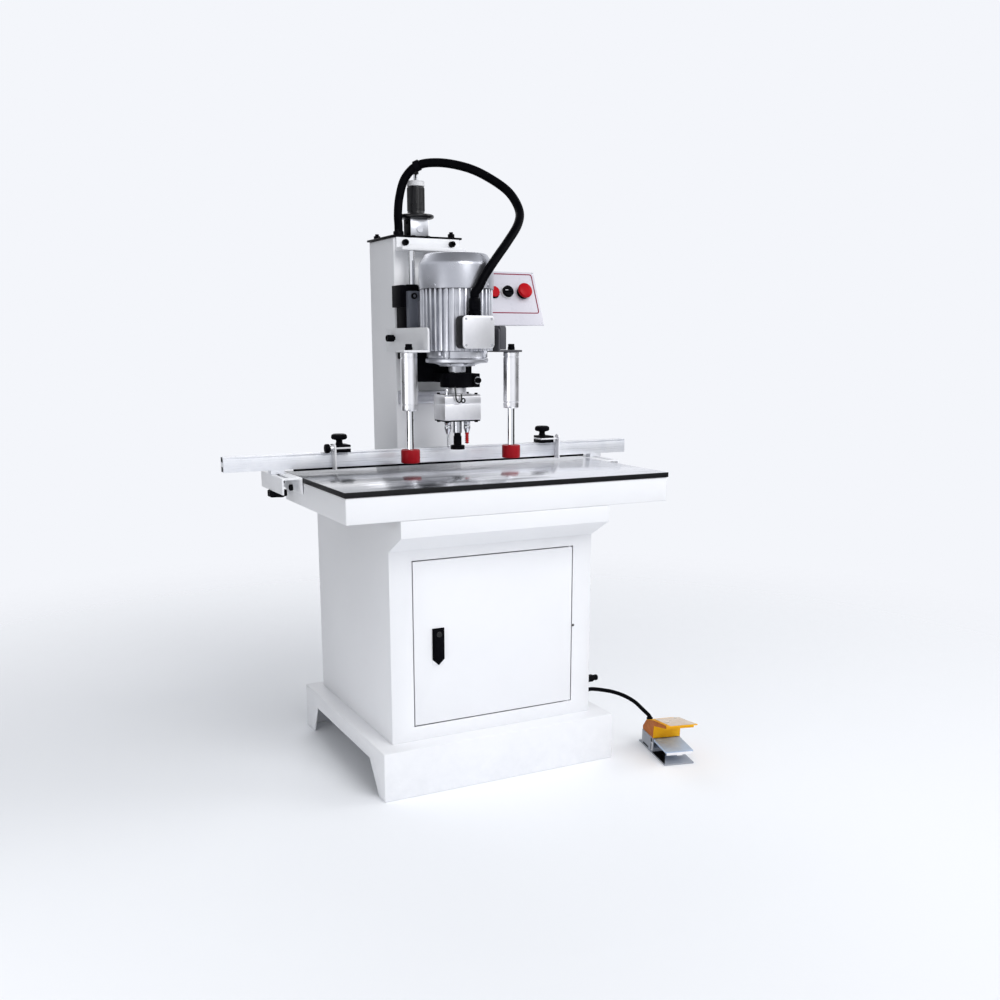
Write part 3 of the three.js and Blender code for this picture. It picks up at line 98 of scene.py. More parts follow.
class Graph:
    def __init__(self, tree):
        self.tree = tree

    def node(self, kind, values=None, output=0, **settings):
        made = self.tree.nodes.new(kind)
        for name, value in settings.items():
            setattr(made, name, value)
        for name, value in (values or {}).items():
            if isinstance(value, Wire):
                self.tree.links.new(value.socket, made.inputs[name])
            else:
                made.inputs[name].default_value = value
        return Wire(self, made.outputs[output]) if made.outputs else made

    def maths(self, operation, first, second):
        return self.node("ShaderNodeMath", {0: first, 1: second}, operation=operation)

    def ramp(self, value, low, high, first=0.0, last=1.0, curve="LINEAR"):
        return self.node("ShaderNodeMapRange", {
            "Value": value, "From Min": low, "From Max": high, "To Min": first, "To Max": last,
        }, interpolation_type=curve)


# A material, which keeps the name of its slot
class Finish(Graph):
    def __init__(self, name, slotName=None, **fixed):
        self.slotName = slotName
        self.material = bpy.data.materials.new(name)
        self.material.use_nodes = True
        super().__init__(self.material.node_tree)
        self.shader = self.tree.nodes["Principled BSDF"]
        for socket, value in fixed.items():
            self.shader.inputs[socket.replace("_", " ")].default_value = value
        self.where = self.node("ShaderNodeTexCoord", output="Object")

    def set(self, **links):
        for socket, wire in links.items():
            self.tree.links.new(wire.socket, self.shader.inputs[socket.replace("_", " ")])
        return self

    def noise(self, scale, detail=3.0, roughness=0.5, stretch=None):
        where = self.where
        if stretch:
            where = self.node("ShaderNodeMapping", {"Vector": where, "Scale": stretch})
        return self.node("ShaderNodeTexNoise", {
            "Vector": where, "Scale": scale, "Detail": detail, "Roughness": roughness,
        })

    def cells(self, scale):
        return self.node("ShaderNodeTexVoronoi", {"Vector": self.where, "Scale": scale})

    def along(self, axis, vector=None):
        return self.node("ShaderNodeSeparateXYZ", {"Vector": vector or self.where}, axis)

    def between(self, noise, low, high):  # noise seldom leaves 0.3 to 0.7
        return self.ramp(noise, 0.3, 0.7, low, high)

    def blend(self, factor, *colours):
        first, second = (c if isinstance(c, Wire) else (*c, 1) for c in colours)
        return self.node("ShaderNodeMix", {0: factor, 6: first, 7: second}, 2, data_type="RGBA")

    def bump(self, height, strength, distance):
        return self.set(Normal=self.node("ShaderNodeBump", {
            "Height": height, "Strength": strength, "Distance": distance,
        }))


# Paint: fine orange peel, faint patches, and dust near the floor
def powderCoat(name, slotName, colour, shade, roughness=0.42, dust=0.35, gloss=0.35):
    finish = Finish(name, slotName, Specular_IOR_Level=gloss)
    peel = finish.noise(420, 2.5, 0.45)
    patch = finish.noise(3.2, 4, 0.6)
    low = finish.ramp(finish.along("Z"), 0.0, 0.16, dust, 0.0)
    grime = finish.between(finish.noise(38, 5, 0.65), 0, 1)
    worn = low * grime + finish.between(patch, 0, 0.16)
    rubbed = finish.between(finish.noise(60, 3), roughness - 0.05, roughness + 0.07)
    finish.set(Base_Color=finish.blend(worn, colour, shade), Roughness=rubbed + low * 0.2)
    return finish.bump(peel, 0.16, 0.0004)


def castMetal(name, slotName, colour, shade, roughness=0.4, metal=0.85, grain=1500.0,
              strength=0.25, gloss=0.5):
    finish = Finish(name, slotName, Metallic=metal, Specular_IOR_Level=gloss)
    sand = finish.noise(grain, 2, 0.6)
    patch = finish.noise(22, 4, 0.55)
    finish.set(
        Base_Color=finish.blend(finish.between(patch, 0, 1), colour, shade),
        Roughness=finish.between(patch, roughness - 0.06, roughness + 0.1),
    )
    return finish.bump(sand, strength, 0.0002)


def groundSteel(name, slotName, colour, shade, stretch, roughness=0.24, metal=1.0, wave=0.05):
    finish = Finish(name, slotName, Metallic=metal)
    grain = finish.noise(60, 3, 0.6, stretch)
    patch = finish.noise(16, 4, 0.6)
    finish.set(
        Base_Color=finish.blend(finish.between(patch, 0, 1), colour, shade),
        Roughness=finish.between(grain, roughness - 0.05, roughness + 0.08),
    )
    return finish.bump(grain, wave, 0.0002)


def moulded(name, slotName, colour, shade, roughness=0.48, grain=2200.0, strength=0.3, gloss=0.5):
    finish = Finish(name, slotName, Specular_IOR_Level=gloss)
    leather = finish.cells(grain)
    handled = finish.noise(45, 4, 0.6)
    finish.set(
        Base_Color=finish.blend(finish.between(handled, 0, 1), colour, shade),
        Roughness=finish.between(handled, roughness - 0.08, roughness + 0.1),
    )
    return finish.bump(leather, strength, 0.00012)


# A dark board with a black edge; its top is painted paler towards its right end as painted
# reflection, with streaks of wear and painted reflection
def polishedBoard(name, slotName):
    finish = Finish(name, slotName, Specular_IOR_Level=0.2)
    streak = finish.noise(9, 5, 0.62, (0.45, 2.2, 1.0))
    wipe = finish.noise(42, 4, 0.62, (0.3, 1.0, 1.0))
    speck = finish.cells(240.0)
    top = finish.along("Z", finish.node("ShaderNodeNewGeometry", output="Normal"))
    face = finish.ramp(top, 0.75, 0.98)
    # Painted reflection: the top is paler towards the right end
    sheenRight = finish.ramp(finish.along("X"), -0.40, 0.20, -0.55, 0.75)
    wearAndSheen = sheenRight + finish.between(streak, -0.25, 0.85)
    # The top's colour, from dark to pale, carries the painted reflection and the streaks
    worn = finish.blend(wearAndSheen, (0.06, 0.065, 0.08), (0.80, 0.81, 0.86))
    finish.set(
        Base_Color=finish.blend(face, (0.004, 0.004, 0.005), worn),
        Roughness=finish.between(wipe, 0.09, 0.22) + (1 - face) * 0.3 + streak * 0.06,
        Metallic=face * 0.72,
    )
    return finish.bump(speck, 0.03, 0.00015)


white = powderCoat("whitePowderCoat", "white_paint", (0.89, 0.895, 0.915), (0.72, 0.73, 0.76))
whitePanel = powderCoat(
    "whitePanel", "white_paint", (0.88, 0.88, 0.90), (0.78, 0.78, 0.81), 0.3, 0.0)
panelFilm = powderCoat(
    "panelFilm", "white_paint", (0.65, 0.64, 0.70), (0.58, 0.57, 0.63), 0.3, 0.0)
blackPaint = powderCoat(
    "blackPaint", "black_paint", (0.002, 0.002, 0.003), (0.007, 0.007, 0.009), 0.4, 0.0, 0.03)
greyPaint = powderCoat(
    "greyPaint", "grey_paint", (0.34, 0.36, 0.40), (0.25, 0.27, 0.31), 0.42, 0.2)
slatePaint = powderCoat(
    "slatePaint", "grey_paint", (0.15, 0.16, 0.19), (0.10, 0.11, 0.13), 0.45, 0.0, 0.2)
# A dark grey that paints shade onto the right clamp bracket and the block beside it
shadePaint = powderCoat(
    "shadePaint", "white_paint", (0.085, 0.085, 0.095), (0.065, 0.065, 0.075), 0.42, 0.0, 0.2)
darkPaint = powderCoat(
    "darkPaint", "grey_paint", (0.018, 0.018, 0.020), (0.035, 0.035, 0.038), 0.45, 0.0, 0.1)
silverCast = castMetal("silverCast", "silver_cast", (0.66, 0.67, 0.71), (0.52, 0.53, 0.57), 0.36)
cowlMetal = castMetal(
    "cowlMetal", "silver_cast", (0.50, 0.51, 0.55), (0.42, 0.43, 0.47), 0.3, 0.95, 2600, 0.08)
blockSilver = castMetal(
    "blockSilver", "silver_cast", (0.82, 0.82, 0.84), (0.70, 0.70, 0.73), 0.34, 0.7, 900)
blackAnodised = castMetal(
    "blackAnodised", "black_aluminium", (0.002, 0.002, 0.003), (0.006, 0.006, 0.008), 0.42, 0.0,
    2400, gloss=0.012)
aluminium = groundSteel(
    "fenceAluminium", "aluminium", (0.87, 0.88, 0.91), (0.72, 0.74, 0.79), (0.06, 12, 12), 0.3,
    0.35)
tubeAluminium = castMetal(
    "tubeAluminium", "aluminium", (0.90, 0.90, 0.92), (0.82, 0.82, 0.85), 0.3, 1.0, 2600, 0.06)
chrome = groundSteel(
    "chromedRod", "chrome_rod", (0.80, 0.81, 0.83), (0.72, 0.73, 0.75), (1, 1, 30), 0.1, 1.0, 0.01)
steel = groundSteel(
    "groundSteel", "ground_steel", (0.56, 0.57, 0.59), (0.42, 0.43, 0.46), (14, 14, 1), 0.22, 1.0,
    0.02)
darkSteel = groundSteel("darkSteel", "ground_steel", (0.006, 0.006, 0.007), (0.02, 0.02, 0.022),
                        (14, 14, 1), 0.35, 0.3)
# The treadle's steel is tinted blue as painted light, to cancel the orange light that the guard
# bounces onto it
treadSteel = groundSteel(
    "treadSteel", "ground_steel", (0.44, 0.56, 0.74), (0.33, 0.42, 0.56), (6, 1, 1), 0.5, 0.08)
blackPlastic = moulded(
    "blackPlastic", "black_plastic", (0.001, 0.001, 0.002), (0.004, 0.004, 0.006), gloss=0.03)
gripPlastic = moulded(
    "gripPlastic", "black_plastic", (0.003, 0.003, 0.004), (0.008, 0.008, 0.010), 0.3, gloss=0.3)
hoseRubber = moulded(
    "hoseRubber", "hose_rubber", (0.001, 0.001, 0.002), (0.003, 0.003, 0.004), 0.4, 900, 0.12,
    gloss=0.02)
redPad = moulded(
    "redPad", "red_pad", (0.37, 0.003, 0.010), (0.27, 0.002, 0.007), 0.4, 900, 0.12, gloss=0.16)
redPlastic = moulded(
    "redPlastic", "red_plastic", (0.52, 0.001, 0.008), (0.42, 0.001, 0.006), 0.34, 2600, 0.08,
    gloss=0.12)
redLacquer = moulded("redLacquer", "red_bit", (0.50, 0.004, 0.008), (0.40, 0.003, 0.006), 0.3,
                     2600, 0.05, gloss=0.3)
maroonInk = moulded(
    "maroonInk", "red_plastic", (0.30, 0.006, 0.045), (0.26, 0.005, 0.040), 0.45, 2600, 0.05,
    gloss=0.2)
orange = moulded(
    "orangePlastic", "orange_plastic", (1.0, 0.54, 0.02), (0.90, 0.42, 0.012), 0.42, 1400, 0.16,
    gloss=0.1)
# A darker orange that paints shade on the guard's sides
shadeOrange = moulded(
    "orangeSideShade", "orange_plastic", (0.50, 0.13, 0.003), (0.36, 0.085, 0.002), 0.42, 1400, 0.16,
    gloss=0.1)
# A pale orange that paints sheen on the visor's top
visorSheenPaint = moulded(
    "visorSheenSkin", "orange_plastic", (0.68, 0.56, 0.44), (0.62, 0.46, 0.32), 0.3, 1400, 0.08)
whitePlastic = moulded("whitePlastic", "white_paint", (0.82, 0.82, 0.83), (0.72, 0.72, 0.74), 0.4)
board = polishedBoard("polishedBoard", "dark_board")
print("finishes ready")


# Places for what is drawn about its own Z axis: tipped onto another axis, or spun about it
def standing(foot, axis):
    return Matrix.LocRotScale(Vector(foot), Vector(axis).to_track_quat("Z", "Y"), None)


def spun(foot, angle):
    return Matrix.Translation(foot) @ Matrix.Rotation(angle, 4, "Z")


def around(centre, radius, count, start=0.0):
    angles = [i * math.tau / count + start for i in range(count)]
    return [(centre[0] + radius * math.cos(a), centre[1] + radius * math.sin(a)) for a in angles]


def pairs(first, second):
    return [(a, b) for a in first for b in second]


def roundedOutline(x0, x1, z0, z1, radius, steps=5):
    corners = [(x1 - radius, z0 + radius, -90), (x1 - radius, z1 - radius, 0),
               (x0 + radius, z1 - radius, 90), (x0 + radius, z0 + radius, 180)]
    return [(cx + radius * math.cos(math.radians(start + 90 * i / steps)),
             cz + radius * math.sin(math.radians(start + 90 * i / steps)))
            for cx, cz, start in corners for i in range(steps + 1)]


def gearOutline(x, y, turn, teeth=16, pitch=13):
    points = []
    for i in range(teeth):
        middle = i * math.tau / teeth + turn
        for radius, share in ((pitch - 1.7, -0.28), (pitch + 1.2, -0.13), (pitch + 1.2, 0.13),
                              (pitch - 1.7, 0.28)):
            angle = middle + share * math.tau / teeth
            points.append((x + radius * math.cos(angle), y + radius * math.sin(angle)))
    return points


# Each call adds one clean solid to a piece, drawn in millimetres, and piece() sets it in the scene
class Shape:
    def __init__(self):
        self.bm = bmesh.new()

    def keep(self, part, place=None):
        if place is not None:
            bmesh.ops.transform(part, matrix=place, verts=part.verts)
        bmesh.ops.recalc_face_normals(part, faces=part.faces)
        passing = bpy.data.meshes.new("passing")
        part.to_mesh(passing)
        part.free()
        self.bm.from_mesh(passing)
        bpy.data.meshes.remove(passing)
        return self

    def soften(self, part, edge, steps=2, least=0.5):
        sharp = [e for e in part.edges if len(e.link_faces) == 2 and e.calc_face_angle(0) > least]
        bmesh.ops.bevel(part, geom=sharp, offset=edge, segments=steps, profile=0.5,
                        affect="EDGES", clamp_overlap=True, material=-1)

    def box(self, low, high, edge=0.0, steps=2, place=None):
        part = bmesh.new()
        low, high = Vector(low), Vector(high)
        bmesh.ops.create_cube(
            part, size=1, matrix=Matrix.LocRotScale((low + high) / 2, None, high - low))
        if edge:
            self.soften(part, edge, steps)
        return self.keep(part, place)

    def rod(self, start, end, radius, edge=0.0, sides=32, tip=None):
        part = bmesh.new()
        start, end = Vector(start), Vector(end)
        turn = (end - start).to_track_quat("Z", "Y")
        bmesh.ops.create_cone(
            part, cap_ends=True, segments=sides, radius1=radius,
            radius2=radius if tip is None else tip, depth=(end - start).length,
            matrix=Matrix.LocRotScale((start + end) / 2, turn, None))
        if edge:
            self.soften(part, edge, 2, 0.9)
        return self.keep(part)

    def turned(self, profile, foot, axis=upward, sides=48, place=None):
        part = bmesh.new()
        points = [part.verts.new((radius, 0, height)) for radius, height in profile]
        if profile[0][0] > 0 and profile[-1][0] > 0:
            points.append(points[0])
        for first, second in zip(points, points[1:]):
            part.edges.new((first, second))
        bmesh.ops.spin(part, geom=part.verts[:] + part.edges[:], cent=(0, 0, 0), axis=upward,
                       angle=math.tau, steps=sides, use_merge=True, use_duplicate=False)
        bmesh.ops.remove_doubles(part, verts=part.verts, dist=0.0001)
        bmesh.ops.transform(part, matrix=standing(foot, axis), verts=part.verts)
        return self.keep(part, place)

    def prism(self, axis, outline, low, high, edge=0.0, steps=2, place=None, least=0.5):
        lift = {
            "x": lambda u, v, w: (w, u, v), "y": lambda u, v, w: (u, w, v),
            "z": lambda u, v, w: (u, v, w),
        }[axis]
        part = bmesh.new()
        face = part.faces.new([part.verts.new(lift(u, v, low)) for u, v in outline])
        made = bmesh.ops.extrude_face_region(part, geom=[face])
        moved = [v for v in made["geom"] if isinstance(v, bmesh.types.BMVert)]
        bmesh.ops.translate(part, vec=lift(0, 0, high - low), verts=moved)
        bmesh.ops.recalc_face_normals(part, faces=part.faces)
        if edge:
            self.soften(part, edge, steps, least)
        return self.keep(part, place)

    def lofted(self, stations, radius, sides, place=None):
        part = bmesh.new()
        rings = []
        for i, station in enumerate(stations):
            made = bmesh.ops.create_circle(
                part, cap_ends=i in (0, len(stations) - 1), segments=sides, radius=radius,
                matrix=station)
            ring = set(made["verts"])
            rings.append([e for e in part.edges if e.verts[0] in ring and e.verts[1] in ring])
        for first, second in zip(rings, rings[1:]):
            bmesh.ops.bridge_loops(part, edges=first + second)
        return self.keep(part, place)

    def tube(self, route, radius, sides=16, place=None):
        last = len(route) - 1
        stations = []
        for i, point in enumerate(route):
            along = (route[min(i + 1, last)] - route[max(i - 1, 0)]).normalized()
            turn = before.rotation_difference(along) @ turn if i else along.to_track_quat("Z", "Y")
            before = along
            stations.append(Matrix.LocRotScale(point, turn, None))
        return self.lofted(stations, radius, sides, place)

    def twisted(self, foot, radius, length, turns, sides=18, steps=44, web=0.62):
        shares = [i / steps for i in range(steps + 1)]
        return self.lofted([
            Matrix.Translation(Vector(foot) + Vector((0, 0, length * share)))
            @ Matrix.Rotation(turns * math.tau * share, 4, "Z") @ Matrix.Diagonal((1, web, 1, 1))
            for share in shares], radius, sides)

    def socketScrew(self, foot, axis, radius, height):
        socket = radius * 0.5
        return self.turned([
            (0, 0), (radius, 0), (radius, height * 0.85), (radius * 0.9, height),
            (socket * 1.1, height), (socket, height * 0.5), (0, height * 0.5),
        ], foot, axis, 20)

    def hexBolt(self, foot, axis, radius, height):
        part = bmesh.new()
        bmesh.ops.create_cone(part, cap_ends=True, segments=6, radius1=radius, radius2=radius,
                              depth=height, matrix=Matrix.Translation((0, 0, height / 2)))
        self.soften(part, height * 0.12, 2, 0.3)
        self.keep(part, standing(foot, axis))
        washer = [(0, 0), (radius * 1.18, 0), (radius * 1.18, height * 0.16), (0, height * 0.16)]
        return self.turned(washer, foot, axis, 24)

    def piece(self, name, body, finish, stands=(), angle=35, slotName=None):
        bmesh.ops.transform(self.bm, matrix=toPart, verts=self.bm.verts)
        mesh = bpy.data.meshes.new(name)
        self.bm.to_mesh(mesh)
        self.bm.free()
        made = bpy.data.objects.new(name, mesh)
        bpy.context.scene.collection.objects.link(made)
        mesh.materials.append(finish.material)
        mesh.shade_smooth()
        mesh.set_sharp_from_angle(angle=math.radians(angle))
        if body:
            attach(made, body)
        if stands:
            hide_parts(*stands)
        return made


def screws(feet, axis, radius, height):
    shape = Shape()
    for foot in feet:
        shape.socketScrew(foot, axis, radius, height)
    return shape


# A CAD node again, with its folds and edges rounded
def rounded(name, node, body, finish, edge):
    shape = Shape()
    part = bmesh.new()
    part.from_mesh(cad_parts[node].data)
    bmesh.ops.remove_doubles(part, verts=part.verts, dist=0.00001)
    bmesh.ops.dissolve_limit(part, angle_limit=math.radians(3), verts=part.verts, edges=part.edges)
    reach = [(min(c), max(c)) for c in zip(*(v.co for v in part.verts))]
    shape.soften(part, edge / 1000)
    for vert in part.verts:  # no rounding leaves the node's own box
        vert.co = [min(max(c, low), high) for c, (low, high) in zip(vert.co, reach)]
    shape.keep(part, toPart.inverted()).piece(name, body, finish, [node])


# A CAD node that stays as it is
def dress(node, finish):
    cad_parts[node].data.materials.clear()
    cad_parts[node].data.materials.append(finish.material)


def onLine(p, q, start, end, t):
    return p * ((end - t) / (end - start)) + q * ((t - start) / (end - start))


# A smooth line through given points, in even steps from each to the next
def smoothRoute(points, steps):
    points = [Vector(p) for p in points]
    padded = [points[0] * 2 - points[1]] + points + [points[-1] * 2 - points[-2]]
    line = []
    for a, b, c, d in zip(padded, padded[1:], padded[2:], padded[3:]):
        t0 = 0.0
        t1 = t0 + (b - a).length ** 0.5
        t2 = t1 + (c - b).length ** 0.5
        t3 = t2 + (d - c).length ** 0.5
        for i in range(steps):
            t = t1 + (t2 - t1) * i / steps
            bc = onLine(b, c, t1, t2, t)
            abc = onLine(onLine(a, b, t0, t1, t), bc, t0, t2, t)
            bcd = onLine(bc, onLine(c, d, t2, t3, t), t1, t3, t)
            line.append(onLine(abc, bcd, t1, t2, t))
    return line + [points[-1]]


# The air hose runs from the cabinet's side to the foot valve
valve = {"x": 449, "y": -341, "turn": math.radians(-14), "entry": (-30, 46, 77.8)}
atValve = spun((valve["x"], valve["y"], 0), valve["turn"])
airHose = {
    "radius": 5,
    "route": [
        (275.6, -235, 163.5), (285, -235, 163.5), (298, -236, 161.5), (316, -238.5, 157.5),
        (344, -243, 150), (375, -251, 137), (402, -262, 119), (418, -274, 101),
        atValve @ Vector((*valve["entry"][:2], 82.8)), atValve @ Vector(valve["entry"]),
    ],
}
line = smoothRoute(airHose["route"], 6)
hose = Shape().tube(line, airHose["radius"], 20)
airHosePiece = hose.piece("airHose", "machine", hoseRubber, ["foot_hose"], 60)
path = [toPart @ point for point in line]
hoseLength = sum((b - a).length for a, b in zip(path, path[1:]))
print("air hose", round(hoseLength, 3))

# The conduit runs from the column's cap to the motor
conduit = {
    "radius": 10.7,
    "route": [
        (-40, 205, 1302.6), (-40, 205, 1316.3), (-41, 205, 1342), (-36, 205, 1386),
        (-22, 200, 1431), (7, 190, 1461), (47, 150, 1466), (104, 92, 1449), (145, 55, 1423),
        (175, 8, 1385), (181, -32, 1340), (162, -62, 1306), (119, -90, 1260.5), (87, -106, 1229),
        (60, -117, 1200.5), (40, -122, 1176), (26, -123, 1152), (16, -122, 1139),
        (16, -122, 1128.3),
    ],
}
line = smoothRoute(conduit["route"], 7)
pipe = Shape().tube(line, conduit["radius"], 28)
conduitPiece = pipe.piece("motorConduit", None, hoseRubber, ["conduit_hose"], 60)
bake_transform(conduitPiece)
print("hoses done")

# Floor and light
stage = {
    "pale": (0.905, 0.921, 0.965, 1),
    "light": (0.92, 0.945, 1.0, 1),
    "floor": (0.965, 0.978, 1, 1),
    "size": 4.0, "solid": 0.8, "gone": 2.8,  # the floor fades into the background between these
    "front": (-0.42, -0.907, 0.0), "dim": 0.05,  # mirrored rays see the two sides this dim
    "sun": (0.30, -0.954, 0.0), "shade": 0.17, "glow": 0.50, "top": 0.26,
}
floor = bpy.data.objects.new("floor", bpy.data.meshes.new("floor"))
bpy.context.scene.collection.objects.link(floor)
ground = bmesh.new()
bmesh.ops.create_grid(ground, x_segments=1, y_segments=1, size=stage["size"])
ground.to_mesh(floor.data)
ground.free()
floorFinish = Finish("paleFloor", Roughness=0.9, Specular_IOR_Level=0.0, Base_Color=stage["floor"])
away = floorFinish.node("ShaderNodeVectorMath", {0: floorFinish.where}, "Value",
                        operation="LENGTH")
floorFinish.set(Alpha=floorFinish.ramp(away, stage["solid"], stage["gone"], 1, 0, "SMOOTHSTEP"))
floor.data.materials.append(floorFinish.material)

world = bpy.data.worlds.new("studio")
bpy.context.scene.world = world
world.use_nodes = True
sky = Graph(world.node_tree)
sky.tree.nodes.clear()


def fade(value, low, high, first=0.0, last=1.0):
    return sky.ramp(value, low, high, first, last, "SMOOTHSTEP")


def facing(direction):
    return sky.node(
        "ShaderNodeVectorMath", {0: whither, 1: direction}, "Value", operation="DOT_PRODUCT")


whither = sky.node("ShaderNodeTexCoord", output="Generated")
height = sky.node("ShaderNodeSeparateXYZ", {0: whither}, "Z")
toFront = facing(stage["front"])
ends = fade(toFront, 0.40, 0.64) + fade(toFront, -0.45, -0.78)
bright = sky.maths("MAXIMUM", ends, fade(height, 0.02, 0.16)) * fade(height, 0.6, 0.9, 1.0, 0.3)
mirrored = sky.node("ShaderNodeLightPath", output="Is Glossy Ray")
shown = (sky.node("ShaderNodeLightPath", output="Is Camera Ray") + mirrored
         + sky.node("ShaderNodeLightPath", output="Is Transmission Ray"))
seen = sky.node("ShaderNodeBackground", {
    "Color": stage["pale"], "Strength": 1 - (1 - bright) * (1 - stage["dim"]) * mirrored,
})
lit = sky.node("ShaderNodeBackground", {
    "Color": stage["light"],
    "Strength": fade(facing(stage["sun"]), -0.2, 0.9, 0.0, stage["glow"])
    + fade(height, 0.3, 0.9, 0.0, stage["top"]) + stage["shade"],
})
sky.node("ShaderNodeOutputWorld", {
    "Surface": sky.node("ShaderNodeMixShader", {0: shown, 1: lit, 2: seen}),
})

lamps = [
    {"name": "key", "place": (0.5, -3.2, 3.2), "aim": (0, 0, 0.7), "size": 2.6, "power": 69},
    {"name": "left", "place": (-2.2, -0.9, 0.5), "aim": (-0.2, 0, 0.3), "size": 1.2, "power": 9},
    {"name": "right", "place": (3.4, -1.2, 2.6), "aim": (0, 0, 0.8), "size": 2.2, "power": 34},
    {"name": "back", "place": (0.6, 3.4, 3.2), "aim": (0, 0, 0.9), "size": 2.6, "power": 34},
]
for lamp in lamps:
    light = bpy.data.lights.new(lamp["name"], "AREA")
    light.shape = "DISK"
    light.size = lamp["size"]
    light.energy = lamp["power"]
    made = bpy.data.objects.new(lamp["name"], light)
    made.location = lamp["place"]
    aim = Vector(lamp["aim"]) - Vector(lamp["place"])
    made.rotation_euler = aim.to_track_quat("-Z", "Y").to_euler()
    bpy.context.scene.collection.objects.link(made)
bpy.context.scene.view_settings.view_transform = "Standard"
print("stage set")

# Base and cabinet
rounded("base", "base_frame", "machine", white, 2.5)
rounded("cabinet", "cabinet_shell", "machine", white, 1.4)
rounded("tableFrame", "table_frame", "machine", white, 2.0)
rounded("cabinetDoor", "door", "door", white, 0.9)

latch = {"x": -147.5, "half": 11.5, "top": 379, "bottom": 298, "face": -258.3, "thick": 6}
x0, x1 = latch["x"] - latch["half"], latch["x"] + latch["half"]
front = latch["face"] - latch["thick"]
grip = Shape()
grip.prism("y", [(x0, latch["top"]), (x0, latch["bottom"] + 12), (latch["x"], latch["bottom"]),
                 (x1, latch["bottom"] + 12), (x1, latch["top"])], front + 1.2, latch["face"], 1.0)
grip.prism("y", [
    (x0 + 3, latch["top"] - 22), (x0 + 3, latch["bottom"] + 15), (latch["x"], latch["bottom"] + 5),
    (x1 - 3, latch["bottom"] + 15), (x1 - 3, latch["top"] - 22),
], front, front + 2.5, 0.8)
grip.piece("latchPaddle", "latch", blackPlastic, ["latch_handle"])
lock = Shape().turned([
    (0, 0), (6.5, 0), (6.5, 1.6), (5.6, 2.2), (4.4, 2.2), (4.2, 1.2), (0, 1.2),
], (latch["x"], front + 1.2, latch["top"] - 11), forward, 32)
lock.box((latch["x"] - 0.5, front - 0.6, latch["top"] - 14),
         (latch["x"] + 0.5, front + 0.6, latch["top"] - 8), 0.2)
lock.piece("latchLock", "latch", darkSteel)
x0, x1 = latch["x"] - 15, latch["x"] + 15
rim = Shape().prism("y", [
    (x0, 307), (latch["x"], 293), (x1, 307), (x1, 382), (x0, 382),
], -259.4, -256.0, 0.8)
rim.piece("latchRim", "door", blackPlastic)
rivet = Shape().turned(
    [(0, 0), (3.2, 0), (2.8, 1.0), (1.6, 1.7), (0, 2.0)], (216.5, -255, 345), forward, 20)
rivet.piece("doorStopPin", "machine", darkSteel)
print("cabinet done")

tableTop = Shape().box((-390, -334.5, 708), (432, 115.5, 720), 0.9)
tableTop.piece("tableBoard", "machine", board, ["table_plate"])

# Column and its cap, with the depth stop's housing, post and wheel
column = {"x": 16, "front": 155, "back": 325, "deck": 1288.3}  # the deck is the cap's upper face
wheel = {"x": 16, "y": 222, "foot": 1336.6}  # the post stands on the same axis
rounded("columnBox", "column", "machine", white, 2.2)
capShape = Shape().box((-80, 150, 1283.3), (112, 330, column["deck"]), 1.0)
for x, y in pairs((column["x"] - 75, column["x"] + 75),
                  (column["front"] + 16, column["back"] - 16)):
    capShape.hexBolt((x, y, column["deck"]), upward, 9, 10)
    capShape.rod((x, y, 1297), (x, y, 1303), 5, 0.6, 16)
for x in (-4, 36):
    capShape.socketScrew((x, 192, column["deck"]), upward, 5, 5)
capShape.turned(
    [(0, 0), (16, 0), (16, 5), (14, 6), (14, 14), (0, 14)], (-40, 205, column["deck"]), sides=6)
capShape.piece("columnCap", "machine", blackPaint, ["column_cap"])
stopHouse = Shape().box((-9, 200, column["deck"]), (41, 244, 1336.3), 1.6)
stopHouse.turned([(0, 0), (8, 0), (8, 3), (0, 3)], (wheel["x"], 200, 1310), forward, 24)
stopHouse.piece("stopHousing", "machine", silverCast, ["column_cap"])
# A thin black plate paints the shade on the stop housing's left side, with two screws on it
shadeSheet = Shape().box((-10, 201, 1289), (-8.8, 243, 1335.4), 0.4)
for z in (1297, 1327):
    shadeSheet.socketScrew((-9.8, wheel["y"], z), (-1, 0, 0), 3.4, 2.6)
shadeSheet.piece("stopSideShade", "machine", blackAnodised)
post = Shape().turned(
    [(0, 1336), (6, 1336), (6, 1453.5), (5, 1455), (0, 1455)], (wheel["x"], wheel["y"], 0))
post.piece("hosePost", "machine", steel, ["column_cap"], slotName="chrome_rod")
rimShape = Shape().turned([
    (6.4, 0), (36, 0), (42, 0.6), (45.2, 2.6), (46, 5.5), (45.2, 8.4), (42, 10.4), (36, 11),
    (26, 10.2), (23.4, 11.4), (22.2, 14), (21.8, 17), (21.8, 77), (20.8, 79), (6.4, 79),
], (wheel["x"], wheel["y"], wheel["foot"]), sides=56)
for x, y in around((wheel["x"], wheel["y"]), 21.6, 36):
    rimShape.rod((x, y, wheel["foot"] + 19), (x, y, wheel["foot"] + 75), 1.1, 0, 6)
rimShape.piece("depthWheel", "depth_wheel", gripPlastic, ["depth_wheel"])
lid = Shape().turned([
    (6.4, 0), (21.4, 0), (22.6, 1.2), (22.6, 11), (21.2, 12.8), (12, 14.4), (6.4, 14.4),
], (wheel["x"], wheel["y"], wheel["foot"] + 79.3))
lid.piece("depthWheelCap", "depth_wheel", whitePlastic)
clip = Shape().turned(
    [(6.1, 1446), (8, 1446), (8, 1454), (6.1, 1454)], (wheel["x"], wheel["y"], 0), sides=32)
clip.turned([(11.2, -7), (13.6, -7), (13.6, 7), (11.2, 7)], (7, 190, 1461), (69, -50, 35), 32)
clip.rod((15, 216, 1447), (9, 198, 1451), 4.5, 0.8, 16)
clip.piece("hoseClip", "machine", blackPlastic)
print("column done")

